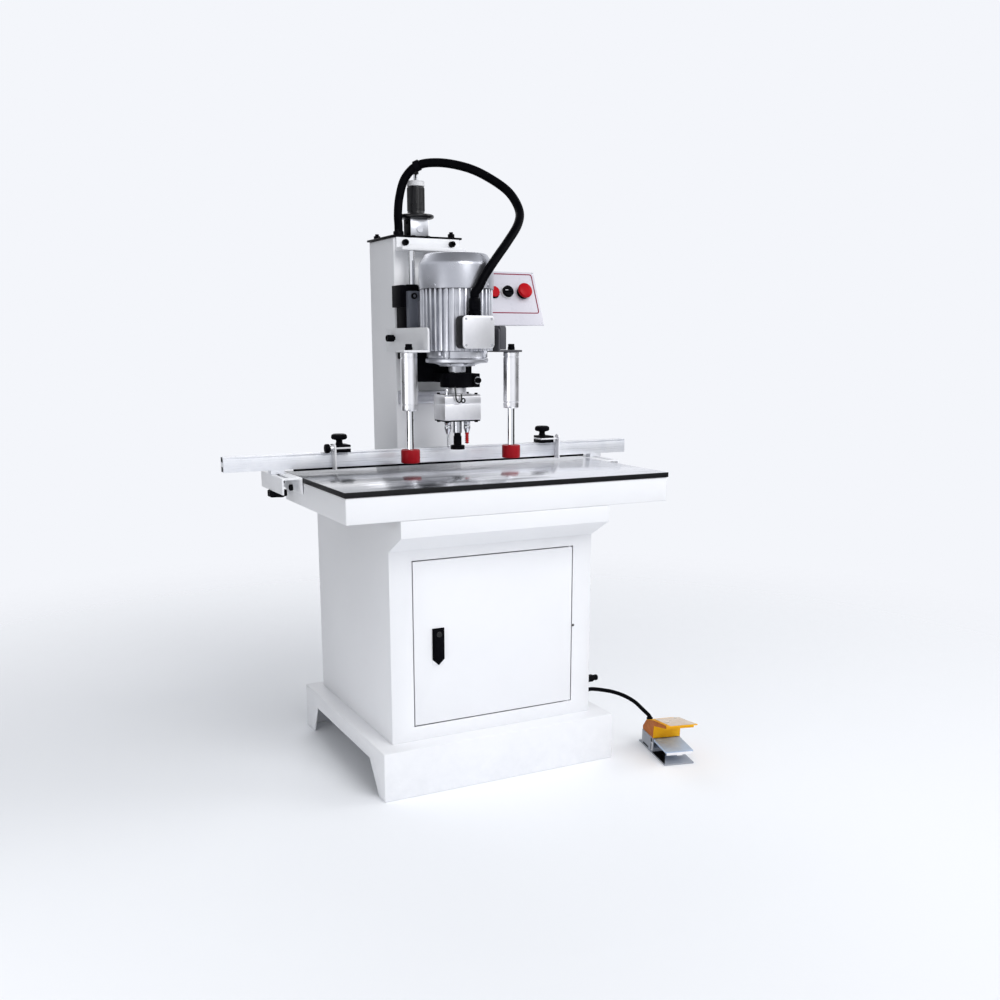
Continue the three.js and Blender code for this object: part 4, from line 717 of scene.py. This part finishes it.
# Rod brackets and guide rods
guide = {"left": -39, "right": 71, "y": 125}
rounded("topBracket", "top_bracket", "machine", white, 0.9)
rounded("lowerBracket", "lower_bracket", "machine", silverCast, 0.9)
for name, z, finish in (("top", 1270.5, blackPaint), ("lower", 884.5, steel)):
    shape = screws([(-48, 146.7, z), (80, 146.7, z)], forward, 7.6, 12.8)
    shape.piece(f"{name}BracketScrews", "machine", finish)
for label in ("left", "right"):
    foot = (guide[label], guide["y"], 0)
    rail = Shape().turned([
        (0, 897.2), (8, 897.2), (9, 898.2), (9, 1257), (8, 1258), (0, 1258),
    ], foot, sides=40)
    rail.turned([(9, 0), (14, 0), (14, 5), (13, 6), (9, 6)], (*foot[:2], 905.4), sides=40)
    rail.piece(f"guideRod.{label}", "machine", chrome, [f"guide_rod_{label}"])
dress("feed_cylinder", tubeAluminium)
dress("feed_rod", steel)

# Head: carriage, mounting plate and motor
axis = (16, -20, 0)  # the motor's and the centre spindle's
rounded("carriage", "carriage", "head", blackAnodised, 1.6)
bushings = Shape()
for label in ("left", "right"):
    bushings.turned([(9.4, 0), (15.5, 0), (15.5, 2.2), (14.5, 3), (9.4, 3)],
                    (guide[label], guide["y"], 1165), sides=40)
bushings.piece("carriageSeals", "head", blackPlastic)
rounded("motorPlate", "motor_plate", "head", slatePaint, 0.9)
plateScrews = screws([(x, 69.7, z) for x, z in pairs((-58, 90), (1012, 1138))], forward, 7.2, 6)
plateScrews.piece("motorPlateScrews", "head", blackPaint)

rounded("motorFins", "motor_housing", "head", silverCast, 0.9)
cowlFoot = (*axis[:2], 1151)
cowl = Shape().turned([
    (88.3, 0.4), (90.5, 0.4), (90.5, 54), (89.9, 58), (88, 61.6), (76, 78.6), (73.2, 81.4),
    (69.5, 82.7), (65, 83), (65, 81), (69, 80.8), (72, 79.8), (74.6, 77.2), (86.2, 60.6),
    (87.7, 57.4), (88.3, 54),
], cowlFoot, sides=72)
for radius in (62, 54, 46, 38, 30, 22):
    cowl.turned([(radius - 2.4, 80.4), (radius + 1.2, 80.4), (radius + 1.2, 82.6),
                 (radius - 2.4, 82.6)], cowlFoot, sides=64)
cowl.turned([(0, 80.2), (14, 80.2), (14, 83), (0, 83)], cowlFoot)
for i in range(6):
    cowl.box((12, -2, 80), (66, 2, 82.2), 0.5, 1, spun(cowlFoot, i * math.tau / 6 + 0.3))
for out in around((0, 0), 1, 4, 0.55):
    out = Vector((*out, 0))
    cowl.turned([(0, 0), (3.6, 0), (3.2, 0.9), (2.0, 1.5), (0, 1.7)],
                Vector(cowlFoot) + Vector((0, 0, 8)) + out * 90.2, out, 20)
cowl.piece("fanCowl", "head", cowlMetal, ["fan_cowl"])

shield = Shape().turned([
    (14.4, 955.2), (20.4, 955.2), (21, 956), (21, 969), (44, 970), (46, 976), (73, 977.6),
    (76.6, 979.6), (77, 986), (75.6, 988), (70.5, 989.6), (70, 992), (70, 1005), (69, 1006),
    (26, 1006), (26, 994), (14.4, 994),
], axis, sides=64)
for x, y in around(axis, 70, 4, math.radians(45)):
    shield.rod((x, y, 991), (x, y, 1006), 8.5, 1.2, 24)
    shield.hexBolt((x, y, 991), downward, 5.4, 5)
for i in range(8):
    shield.prism("y", [(39, 976), (39, 970.5), (64, 978), (64, 980)], -2, 2, 0.5, 1,
                 spun(axis, i * math.tau / 8))
shield.box((68, -5, 995), (79, 5, 1005), 1.2, 2, spun(axis, math.radians(212)))
shield.piece("endShield", "head", silverCast, ["end_shield"])

collar = Shape().turned([(0, 953.2), (13, 953.2), (14, 954.2), (14, 1214), (0, 1214)], axis)
collar.rod((*axis[:2], 1024), (*axis[:2], 1139), 50, 1.5, 48)
for i in range(8):
    collar.box((10, -1.5, 1168), (73.5, 1.5, 1192.5), 0.6, 1, spun(axis, i * math.tau / 8))
collar.rod((*axis[:2], 1167.5), (*axis[:2], 1192.8), 18, 1)
collar.piece("rotor", "drive", steel, ["rotor_shaft"])

# Terminal box with its gland
terminal = {"half": 41, "front": -144, "back": -104, "low": 1012, "high": 1088}
left, right = axis[0] - terminal["half"], axis[0] + terminal["half"]
face = roundedOutline(left, right, terminal["low"], terminal["high"], 10)
shell = Shape().prism("y", face, terminal["front"] + 5.3, terminal["back"], 0.8)
shell.prism("y", roundedOutline(-10, 42, 1022, 1078, 4), terminal["back"] - 2, -96.5, 0.5)
shell.piece("terminalBox", "head", darkPaint, ["terminal_box"])
lid = Shape().prism("y", face, terminal["front"], terminal["front"] + 5, 1.6, 3)
lid.piece("terminalLid", "head", blockSilver, ["terminal_lid"])
lidScrews = Shape()
for x, z in pairs((left + 8, right - 8), (terminal["low"] + 8, terminal["high"] - 8)):
    lidScrews.turned([(0, 0), (3.0, 0), (2.8, 0.35), (1.2, 0.5), (0, 0.3)],
                     (x, terminal["front"], z), forward, 18)
lidScrews.piece("terminalLidScrews", "head", steel)
foot = (axis[0], -122, terminal["high"])
gland = Shape().turned([(0, 0), (16, 0), (16, 10.5), (14.4, 12), (0, 12)], foot, sides=6)
gland.turned(
    [(0, 12), (13.2, 12), (14.3, 14), (14.3, 33), (13.4, 38.5), (12, 40), (0, 40)], foot, sides=32)
for z in (16, 22, 28):
    gland.turned([(13, z), (14.5, z + 1), (14.5, z + 3.5), (13, z + 4.5)], foot, sides=32)
gland.piece("conduitGland", "head", blackPlastic, ["terminal_box"])
print("motor done")

# Spindle bracket: a clamp ring on a black arm, with its pinch screw and a wire hook
yoke = Shape().box((-60, 53.8, 930), (92, 89.7, 999.7), 2.2, 3)
yoke.box((-14, 14, 930), (46, 55, 953), 1.5)
yoke.turned(
    [(16.1, 919), (40.5, 919), (42, 920.5), (42, 951.5), (40.5, 953), (16.1, 953)], axis, sides=64)
yoke.box((44, -59, 919.4), (60, -39.5, 952.6), 1.8)
yoke.box((44, -38, 919.4), (60, -29, 952.6), 1.4)
yoke.piece("spindleYoke", "head", blackAnodised, ["spindle_bracket"])
pinch = Shape().socketScrew((53, -60.2, 936), forward, 6.8, 7.5)
pinch.piece("yokeScrew", "head", blackPaint)
washer = Shape().turned([(5, 0), (9, 0), (9, 1.2), (5, 1.2)], (53, -59, 936), forward, 32)
washer.piece("yokeWasher", "head", steel)
hook = [(-7, -57.4, 920.6), (-7, -61, 905), (-6, -61.5, 893), (-2, -62, 886), (3, -62, 884),
        (7, -61.7, 888), (8.5, -61.2, 896), (8.5, -60.8, 904)]
wire = Shape().tube(smoothRoute(hook, 5), 1.9, 14)
wire.piece("wireHook", "head", darkSteel)

# Head block, its cover and neck
block = {"halfX": 48.5, "halfY": 34, "low": 840, "split": 880, "high": 902}
x0, x1 = axis[0] - block["halfX"], axis[0] + block["halfX"]
y0, y1 = axis[1] - block["halfY"], axis[1] + block["halfY"]
bolts = pairs((x0 + 9, x1 - 9), (y0 + 9, y1 - 9))
head = Shape().box((x0, y0, block["low"]), (x1, y1, block["split"] - 0.4), 1.6, 3)
head.box((x0 + 0.7, y0 + 0.7, block["split"] - 1), (x1 - 0.7, y1 - 0.7, block["split"] + 1))
head.prism("x", [
    (y0, block["split"] + 0.4), (y1, block["split"] + 0.4), (y1, block["high"] - 5),
    (y1 - 5, block["high"]), (y0 + 5, block["high"]), (y0, block["high"] - 5),
], x0, x1, 1.2)
head.turned([(14.4, 901), (24, 901), (24, 904), (22.6, 905.5), (22.6, 917.7), (21.6, 918.7),
             (14.4, 918.7)], axis)
head.piece("gearHead", "head", blockSilver, ["gear_head"])
headScrews = screws([(x, y, 901.6) for x, y in bolts], upward, 4, 4)
headScrews.piece("gearHeadScrews", "head", blackPaint)
nipple = Shape().turned([
    (0, 0), (5, 0), (5, 4), (3.6, 5), (3.6, 12), (2.4, 14.5), (0, 15),
], (x0 + 9, y0 + 7, 901.8), sides=24)
nipple.piece("greaseNipple", "head", chrome)
gasket = screws([(x, y, block["low"] - 3) for x, y in bolts], downward, 4.5, 3)
gasket.box((x0 + 1.5, y0 + 1.5, block["low"] - 3), (x1 - 1.5, y1 - 1.5, block["low"]), 0.5)
gasket.piece("headGasket", "head", blackPaint)
foot = (axis[0], y0, 888)
ring = Shape().turned([(3.4, 0), (6, 0), (6, 2.2), (5.4, 3), (3.4, 3)], foot, forward, 36)
ring.piece("oilPlugRing", "head", blackPlastic)
plug = Shape().turned([
    (0, 0), (3.3, 0), (3.3, 2.2), (1.7, 2.4), (1.5, 1.2), (0, 1.2),
], foot, forward, 28)
plug.piece("oilPlug", "head", chrome)

# Spindles with their gears, chucks and tools
spindle = {"pitch": 26, "gearLow": 848.3, "gearHigh": 862.3}
centre = Shape().turned([
    (0, 806.5), (8.8, 806.5), (11, 808.5), (11, 838.7), (10, 839.7), (8.6, 839.7), (8.6, 952),
    (0, 952),
], axis)
centre.prism("z", gearOutline(axis[0], axis[1], 0), spindle["gearLow"], spindle["gearHigh"])
centre.piece("centreSpindle", "drive", steel, ["centre_spindle"])
cutter = Shape().turned([
    (0, 768.4), (3.4, 769.4), (14.6, 769.4), (15.6, 767.3), (17.5, 767), (17.5, 775.8),
    (16.3, 777), (10, 777.6), (10, 799), (8.4, 800.5), (8.4, 807), (0, 807),
], axis, sides=56)
cutter.turned([(0, 767), (1.6, 768.6), (1.6, 770), (0, 770)], axis, sides=16)
for turn in (0.4, 0.4 + math.pi):
    cutter.box((3.5, -1.2, 767.2), (16.8, 1.2, 771), 0.3, 1, spun(axis, turn))
    cutter.box((9, 4, 770), (16, 8, 777.2), 0.5, 1, spun(axis, turn))
cutter.piece("cupCutter", "drive", blackPaint, ["centre_spindle"])
for label, side, radius, low, finish in (
    ("left", -1, 3, 772, steel), ("right", 1, 5.4, 779, redLacquer),
):
    foot = (axis[0] + side * spindle["pitch"], axis[1], 0)
    chuck = Shape().turned([
        (0, 806), (3.6, 805), (4.3, 805.2), (8.2, 817.4), (8.5, 818.4), (8.5, 825), (7.8, 826),
        (7.8, 828.6), (8.5, 829.6), (8.5, 838.9), (7.7, 839.7), (7.7, 861), (0, 861),
    ], foot)
    chuck.prism(
        "z", gearOutline(foot[0], foot[1], math.pi / 16), spindle["gearLow"], spindle["gearHigh"])
    chuck.piece(f"chuck.{label}", f"{label}_spindle", steel, [f"{label}_spindle"])
    bit = Shape().twisted((*foot[:2], low + 2), radius, 24, -2.2 * side)
    bit.rod((*foot[:2], low + 25), (*foot[:2], 812), radius * 0.92)
    bit.rod((*foot[:2], low + 2.6), (*foot[:2], low), radius * 0.9, 0, 18, 0.3)
    bit.piece(f"bit.{label}", f"{label}_spindle", finish, [f"{label}_spindle"])
print("spindles done")

# Clamps: bracket, cylinder, fitting, rod and pad on each side
clamp = {"spread": 137, "y": -45, "face": 91.3, "sheet": 5}
for label, side in (("left", -1), ("right", 1)):
    foot = (axis[0] + side * clamp["spread"], clamp["y"], 0)
    # The right bracket is painted dark, as painted shade
    rounded(f"clampBracket.{label}", f"clamp_bracket_{label}", "machine",
            white if side < 0 else shadePaint, 0.8)
    outer = axis[0] + side * (clamp["face"] + clamp["sheet"])
    x0, x1 = sorted((axis[0] + side * (clamp["face"] + 0.4), outer - side * 2.4))
    # A black block fills the bracket's slot as painted shade, with the slot's bolt
    slotShadeAndBolt = Shape().box((x0, 141.3, 1032.6), (x1, 166.7, 1041), 0.2)
    slotShadeAndBolt.socketScrew((outer, 153, 1036.8), (side, 0, 0), 8.6, 19)
    slotShadeAndBolt.piece(f"clampSlotShadeAndBolt.{label}", "machine", blackPaint)
    tube = Shape().turned([
        (9.4, 866), (17, 866), (19.3, 867.1), (20, 869), (20, 880), (19.2, 880.8), (19.2, 882.2),
        (20, 883), (20, 990), (19.2, 990.8), (19.2, 992.2), (20, 993), (20, 1001.6),
        (18.8, 1003), (4, 1003), (4, 1009), (0, 1009), (0, 994), (17, 994), (17, 874), (9.4, 874),
    ], foot, sides=56)
    tube.piece(f"clampTube.{label}", "machine", tubeAluminium, [f"clamp_cylinder_{label}"])
    port = (*foot[:2], 1008.6)
    fitting = Shape().turned([(0, 0), (10, 0), (10, 6.4), (9.2, 7), (0, 7)], port, sides=6)
    fitting.turned([(0, 5), (7.6, 5), (8, 8), (8, 13.4), (7, 14.4), (3.2, 14.4), (2.8, 11),
                    (0, 11)], port, sides=32)
    fitting.piece(f"clampFitting.{label}", "machine", blackPlastic)
    rod = Shape().turned([(0, 774.3), (8.4, 774.3), (9, 775), (9, 930), (0, 930)], foot)
    rod.turned([(9, 912), (16, 912), (16.6, 913), (16.6, 929), (16, 930), (9, 930)], foot)
    rod.piece(f"clampRod.{label}", f"clamp_{label}", chrome, [f"clamp_rod_{label}"])
    pad = Shape().turned([
        (0, 742), (20.4, 742), (22.3, 742.8), (23, 744.6), (23, 771.6), (22.4, 773.2),
        (21, 774), (0, 774),
    ], foot, sides=56)
    pad.piece(f"clampPad.{label}", f"clamp_{label}", redPad, [f"clamp_pad_{label}"])
# The right bracket's plate is made thick by a block, and the block is painted dark as painted
# shade
shadeBlock = Shape().prism("x", [
    (-65, 1009.4), (-8, 1009.4), (-8, 1066.6), (-57, 1066.6), (-62.6, 1064.2), (-65, 1058.6),
], 112.6, 129, 1.2)
shadeBlock.piece("clampShadeBlock", "machine", shadePaint)
print("clamps done")

# Fence, its rails and knobs
fence = {"left": -551, "right": 559, "mid": 62.5}
profile = [
    (50, 730), (58.5, 730), (58.5, 733.5), (66.5, 733.5), (66.5, 730), (75, 730), (75, 766),
    (66.5, 766), (66.5, 762.5), (69.5, 762.5), (69.5, 753.5), (55.5, 753.5), (55.5, 762.5),
    (58.5, 762.5), (58.5, 766), (50, 766), (50, 762.6), (51.8, 762.2), (51.8, 760.8), (50, 760.4),
]
bar = Shape().prism("x", profile, fence["left"] + 0.5, fence["right"] - 0.5, 0.35, 2)
slotCentres = {"left": -422.8, "right": 464.8}
for x in slotCentres.values():
    bar.box((x - 17, 50.3, 720.3), (x + 17, 74.7, 734), 1.0)
bar.piece("fenceBar", "fence", aluminium, ["fence"])
plugsAndShadeStrips = Shape()
for x0, x1 in ((fence["left"], fence["left"] + 12), (fence["right"] - 12, fence["right"])):
    plugsAndShadeStrips.box((x0, 55.8, 753.8), (x1, 69.2, 762.2), 0.3)
    plugsAndShadeStrips.box((x0, 58.8, 761), (x1, 66.2, 765.4), 0.3)
    plugsAndShadeStrips.box((x0, 56.5, 731.5), (x0 + 0.8 if x0 < 0 else x1, 68.5, 743), 0.3)
# A black strip hanging under the fence's front paints the shadow on the table beneath the fence
plugsAndShadeStrips.box((-384, 50.6, 724.8), (426, 52.4, 730.4), 0.3)
# A black strip in the fence's top slot paints the slot's shade
plugsAndShadeStrips.box((fence["left"] + 12, 58.7, 758), (fence["right"] - 12, 66.3, 764.6), 0.3)
plugsAndShadeStrips.piece("fenceEndPlugsAndShade", "fence", blackPlastic)
studs = Shape()
for x in slotCentres.values():
    studs.rod((x, fence["mid"], 682), (x, fence["mid"], 723), 4, 0.5, 24)
studs.piece("fenceStuds", "fence", steel)
tape = Shape().box((-545, 51.2, 765.9), (553, 57.4, 766.1))
tape.piece("fenceTape", "fence", whitePlastic)
scale = {"first": -541, "step": 10, "count": 109}
ticks, reds = Shape(), Shape()
for i in range(scale["count"]):
    x = scale["first"] + i * scale["step"]
    deep = 55.4 if i % 5 == 0 else 53.8
    (reds if i % 10 == 0 else ticks).box((x - 0.35, 51.4, 766), (x + 0.35, deep, 766.18))
ticks.piece("fenceTicks", "fence", blackPaint)
reds.piece("fenceRedTicks", "fence", maroonInk)

for label, x in slotCentres.items():
    side = -1 if label == "left" else 1
    rounded(f"fenceRail.{label}", f"fence_rail_{label}", "machine", white, 0.9)
    bolts = screws([(x - side * 12.5, y, 697) for y in (-24, 126)], (side, 0, 0), 7.6, 7)
    bolts.hexBolt((x + side * 8, -14, 716), downward, 6, 9)
    bolts.piece(f"railBolts.{label}", "machine", blackPaint)
    star = []
    for i in range(80):
        angle = i * math.tau / 80
        radius = 21.6 + 2.4 * math.cos(5 * angle)
        star.append((x + radius * math.cos(angle), fence["mid"] + radius * math.sin(angle)))
    knob = Shape().prism("z", star, 665.7, 681.7, 3.0, 4, least=0.9)
    knob.turned([(4.4, 680), (11.5, 680), (10, 686), (10, 714.7), (9, 715.7), (4.4, 715.7)],
                (x, fence["mid"], 0), sides=40)
    knob.piece(f"fenceKnob.{label}", f"fence_knob_{label}", blackPlastic, [f"fence_knob_{label}"])
print("fence done")

# End stops: a block on the fence, a blade that flips up, and a clamping knob
stops = {
    "left": {"side": -1, "blade": -287, "outer": -282.7, "inner": -244.7},
    "right": {"side": 1, "blade": 338, "outer": 322, "inner": 284},
}
pivot, bossTip = (38.4, 777), -296  # the blades' pivot in y and z, and the left one's boss in x
for label, stop in stops.items():
    side = stop["side"]
    body = f"stop_{label}"
    x0, x1 = sorted((stop["outer"], stop["inner"]))
    middle = (x0 + x1) / 2
    base = Shape().box((x0, 32, 766.3), (x1, 75, 774.8), 1.0)
    base.box((x0, 32, 779.2), (x1, 75, 784.3), 1.2)
    base.box((x0 + 1, 58.9, 763), (x1 - 1, 66.1, 767), 0.4)
    base.rod((middle, fence["mid"], 774), (middle, fence["mid"], 780), 8)
    base.piece(f"stopBlock.{label}", body, blackPlastic, [f"stop_block_{label}"])
    bladeIn = stop["blade"] - side * 4
    x2, x3 = sorted((stop["inner"], bladeIn - side * 0.3))
    flange = Shape().box((x2, 32, 775), (x3, 74.7, 779), 0.5)
    flange.piece(f"stopFlange.{label}", body, whitePanel)
    arc = [(pivot[0] + 11 * math.cos(math.radians(a)), pivot[1] + 11 * math.sin(math.radians(a)))
           for a in range(0, 181, 9)]
    x4, x5 = sorted((stop["blade"], bladeIn))
    blade = Shape().prism("x", [(27.4, 725), (49.4, 725)] + arc, x4, x5, 0.5)
    blade.piece(f"stopBlade.{label}", f"stop_arm_{label}", whitePanel, [f"stop_arm_{label}"])
    if label == "left":
        boss = Shape().rod((stop["blade"], *pivot), (bossTip, *pivot), 8, 0.6, 36)
        boss.piece("stopBoss.left", "stop_arm_left", blockSilver)
        finish, grip = blackPlastic, Shape().turned([
            (0, 0), (8, 0), (9.4, 1), (11, 3), (11, 9.5), (10, 12), (7, 13), (0, 13),
        ], (bossTip, *pivot), (-1, 0, 0), 40)
        for y, z in around(pivot, 10.6, 16):
            grip.rod((bossTip - 3.4, y, z), (bossTip - 9.4, y, z), 0.5, 0, 6)
    else:
        finish, grip = steel, Shape().turned(
            [(0, 0), (7, 0), (6.4, 2.6), (4, 4.2), (0, 4.8)], (stop["blade"], *pivot), rightward,
            40)
    grip.piece(f"stopPivot.{label}", f"stop_arm_{label}", finish)
    top = Shape().turned([
        (0, 784.6), (9.4, 784.6), (8.4, 787), (7.6, 791), (8, 794), (12, 795), (17.2, 796.4),
        (19, 799), (19, 804.4), (17.6, 807.6), (14, 809.2), (0, 809.6),
    ], (middle, fence["mid"], 0), sides=56)
    for x, y in around((middle, fence["mid"]), 18.6, 20):
        top.rod((x, y, 798.6), (x, y, 805), 0.8, 0, 6)
    top.piece(f"stopKnob.{label}", f"stop_knob_{label}", blackPlastic, [f"stop_knob_{label}"])
print("stops done")

# Control box, drawn on its sloped panel: x to the right, z up the slope
panel = {"x": 141, "y": 52, "z": 1070, "run": 62, "rise": 136, "width": 160, "row": 0.6}
buttons = {"start": 30.4, "selector": 68.8, "stop": 115.2}
slope = math.atan2(panel["run"], panel["rise"])
slant = math.hypot(panel["run"], panel["rise"])
row = slant * panel["row"]
atPanel = (Matrix.Translation((panel["x"], panel["y"], panel["z"]))
           @ Matrix.Rotation(-slope, 4, "X"))


def onPanel(shape, button, profile, sides=48):
    return shape.turned(profile, (buttons[button], 0, row), forward, sides, atPanel)


rounded("controlBox", "control_box", "machine", white, 1.6)
plateShape = Shape().box((0, 0, 0), (panel["width"], 2.9, slant), 0.8, 2, atPanel)
plateShape.piece("controlPlate", "machine", panelFilm, ["control_panel"])
loop = roundedOutline(8, 152, 34, slant - 7, 6, 6)
border = Shape().tube([Vector((x, 0, z)) for x, z in loop + loop[:1]], 1.4, 8, atPanel)
border.piece("panelBorder", "machine", maroonInk)
bezels = Shape()
for name, bore in (("start", 11.9), ("stop", 13)):
    onPanel(bezels, name, [(bore, 0), (15.8, 0), (16.5, 0.8), (16, 3.6), (14.8, 5), (bore, 5)])
bezels.piece("buttonBezels", "machine", blackPlastic, ["control_panel"])
startCap = onPanel(Shape(), "start", [
    (0, -13), (11.4, -13), (11.4, 4), (14.6, 5.4), (15, 6.4), (14, 8.6), (9, 9.4), (0, 9.6),
])
startCap.piece("startCap", "start_button", redPlastic, ["start_button"])
turnKnob = onPanel(Shape(), "selector", [
    (0, -13), (12.4, -13), (12.4, 5.4), (15, 5.8), (15.2, 7), (14.8, 12.4), (14, 13.2), (0, 13.2),
])
x = buttons["selector"]
turnKnob.box((x - 11.6, -16, row - 3.5), (x + 11.6, -7, row + 3.5), 1.2, 3, atPanel)
turnKnob.piece("selectorKnob", "selector", blackPlastic, ["selector_switch"])
mark = Shape().box((x - 11, -16.2, row - 0.8), (x - 3, -15.8, row + 0.8), 0.1, 1, atPanel)
mark.piece("selectorMark", "selector", whitePlastic)
ring = onPanel(Shape(), "selector", [
    (12.8, 0), (16.6, 0), (17.4, 0.8), (17, 3.4), (15.4, 5), (12.8, 5),
])
ring.piece("selectorRing", "machine", whitePlastic)
stem = onPanel(Shape(), "stop", [(0, -13), (9.6, -13), (9.6, 11), (14.6, 12.4), (0, 12.4)])
stem.piece("stopStem", "stop_button", whitePlastic, ["stop_button"])
stopCap = onPanel(Shape(), "stop", [
    (0, 12), (16, 12), (19.2, 12.8), (19.8, 14.4), (19.8, 18), (18, 20.6), (13, 22.2), (7, 22.9),
    (0, 23),
], 56)
stopCap.piece("stopCap", "stop_button", redPlastic, ["stop_button"])
corners = Shape()
for x, z in pairs((4.5, panel["width"] - 4.5), (4.5, slant - 4.5)):
    corners.turned(
        [(0, 0), (2.6, 0), (2.3, 0.8), (1.0, 1.2), (0, 0.9)], (x, 0, z), forward, 18, atPanel)
corners.piece("panelScrews", "machine", steel)
print("control box done")

# Fittings on the cabinet's right side, and the board inside
foot = (265.3, -235, 193)
inlet = Shape().turned([
    (0, 0), (10.5, 0), (10.5, 9), (9.6, 10), (9.6, 22), (9, 23), (0, 23),
], foot, rightward, 6)
inlet.turned([(0, 21), (7, 21), (7.5, 22), (7.5, 26), (6.4, 27), (6.4, 29), (7.5, 30),
              (7.5, 34.6), (6.6, 36), (3, 36), (3, 30), (0, 30)], foot, rightward, 36)
inlet.turned([(10, 0), (10.5, 0), (10.5, 2), (10, 2.4)], foot, rightward, 36)
inlet.piece("airInlet", "machine", blackPlastic, ["air_inlet"])
sleeve = Shape().turned([
    (5.1, 0), (9, 0), (9, 2), (7.4, 3), (6.9, 9), (6.2, 10), (5.1, 10),
], (*foot[:2], 163.5), rightward, 36)
sleeve.piece("hoseSleeve", "machine", blackPlastic, ["hose_grommet"])
rounded("serviceBoard", "service_panel", "machine", greyPaint, 1.2)

# Foot valve, drawn about its own origin where atValve is given
rounded("pedalBase", "pedal_base", "machine", greyPaint, 0.9)
rounded("pedalGuard", "pedal_guard", "machine", orange, 1.0)
# A thin pale sheet on the visor's top paints its sheen
sheenSkin = Shape().prism(
    "x", [(4, 90.9), (4, 91.3), (-103.4, 110.7), (-103.4, 110.2)], -33, 33, 0.15, 1, atValve)
sheenSkin.piece("visorSheen", "machine", visorSheenPaint)
rounded("treadlePlate", "pedal_treadle", "treadle", treadSteel, 0.8)
# The treadle's front lip is white as a painted highlight on its edge
lip = Shape().box((-34, -87, 27), (34, -84.6, 33.4), 0.5, 2, atValve)
lip.box((-7, -88, 25.4), (7, -84.6, 28), 0.5, 2, atValve)
lip.piece("treadleLipHighlight", "treadle", whitePanel)
# Thin darker orange sheets on both sides of the guard paint the shade on its sides
shadeSheet = Shape()
for x in (-36.8, 35.6):
    shadeSheet.prism("x", [
        (75, 41), (75, 50), (52, 73.4), (6, 87.4), (-82, 103.6), (-82, 95.6), (0, 74), (3.4, 41),
    ], x, x + 1.2, 0.3, 1, atValve)
shadeSheet.piece("guardSideShade", "machine", shadeOrange)
# Thin black plates on the base's side paint the shade in its slots
slotShades = Shape()
for y0, z0, y1, z1 in ((6, 29, 13, 38.4), (7, 9, 12, 24), (30, 5, 66, 9)):
    slotShades.box((-38.4, y0, z0), (-37.6, y1, z1), 0.3, 1, atValve)
slotShades.piece("pedalSlotShades", "machine", blackPlastic)
# A thin white strip paints a highlight on the base's edge
edge = Shape().box((-38.6, 0, 8), (-37.8, 5, 30), 0.3, 1, atValve)
edge.piece("pedalEdgeHighlight", "machine", whitePanel)
ferrule = Shape().turned(
    [(5.2, 0), (8, 0), (8, 3), (7, 4.5), (5.2, 4.5)], (0, 0, 0), sides=32,
    place=atValve @ Matrix.Translation((-30, 46, 77.2)))
ferrule.piece("hoseFerrule", "machine", blackPlastic)
print("foot valve done")
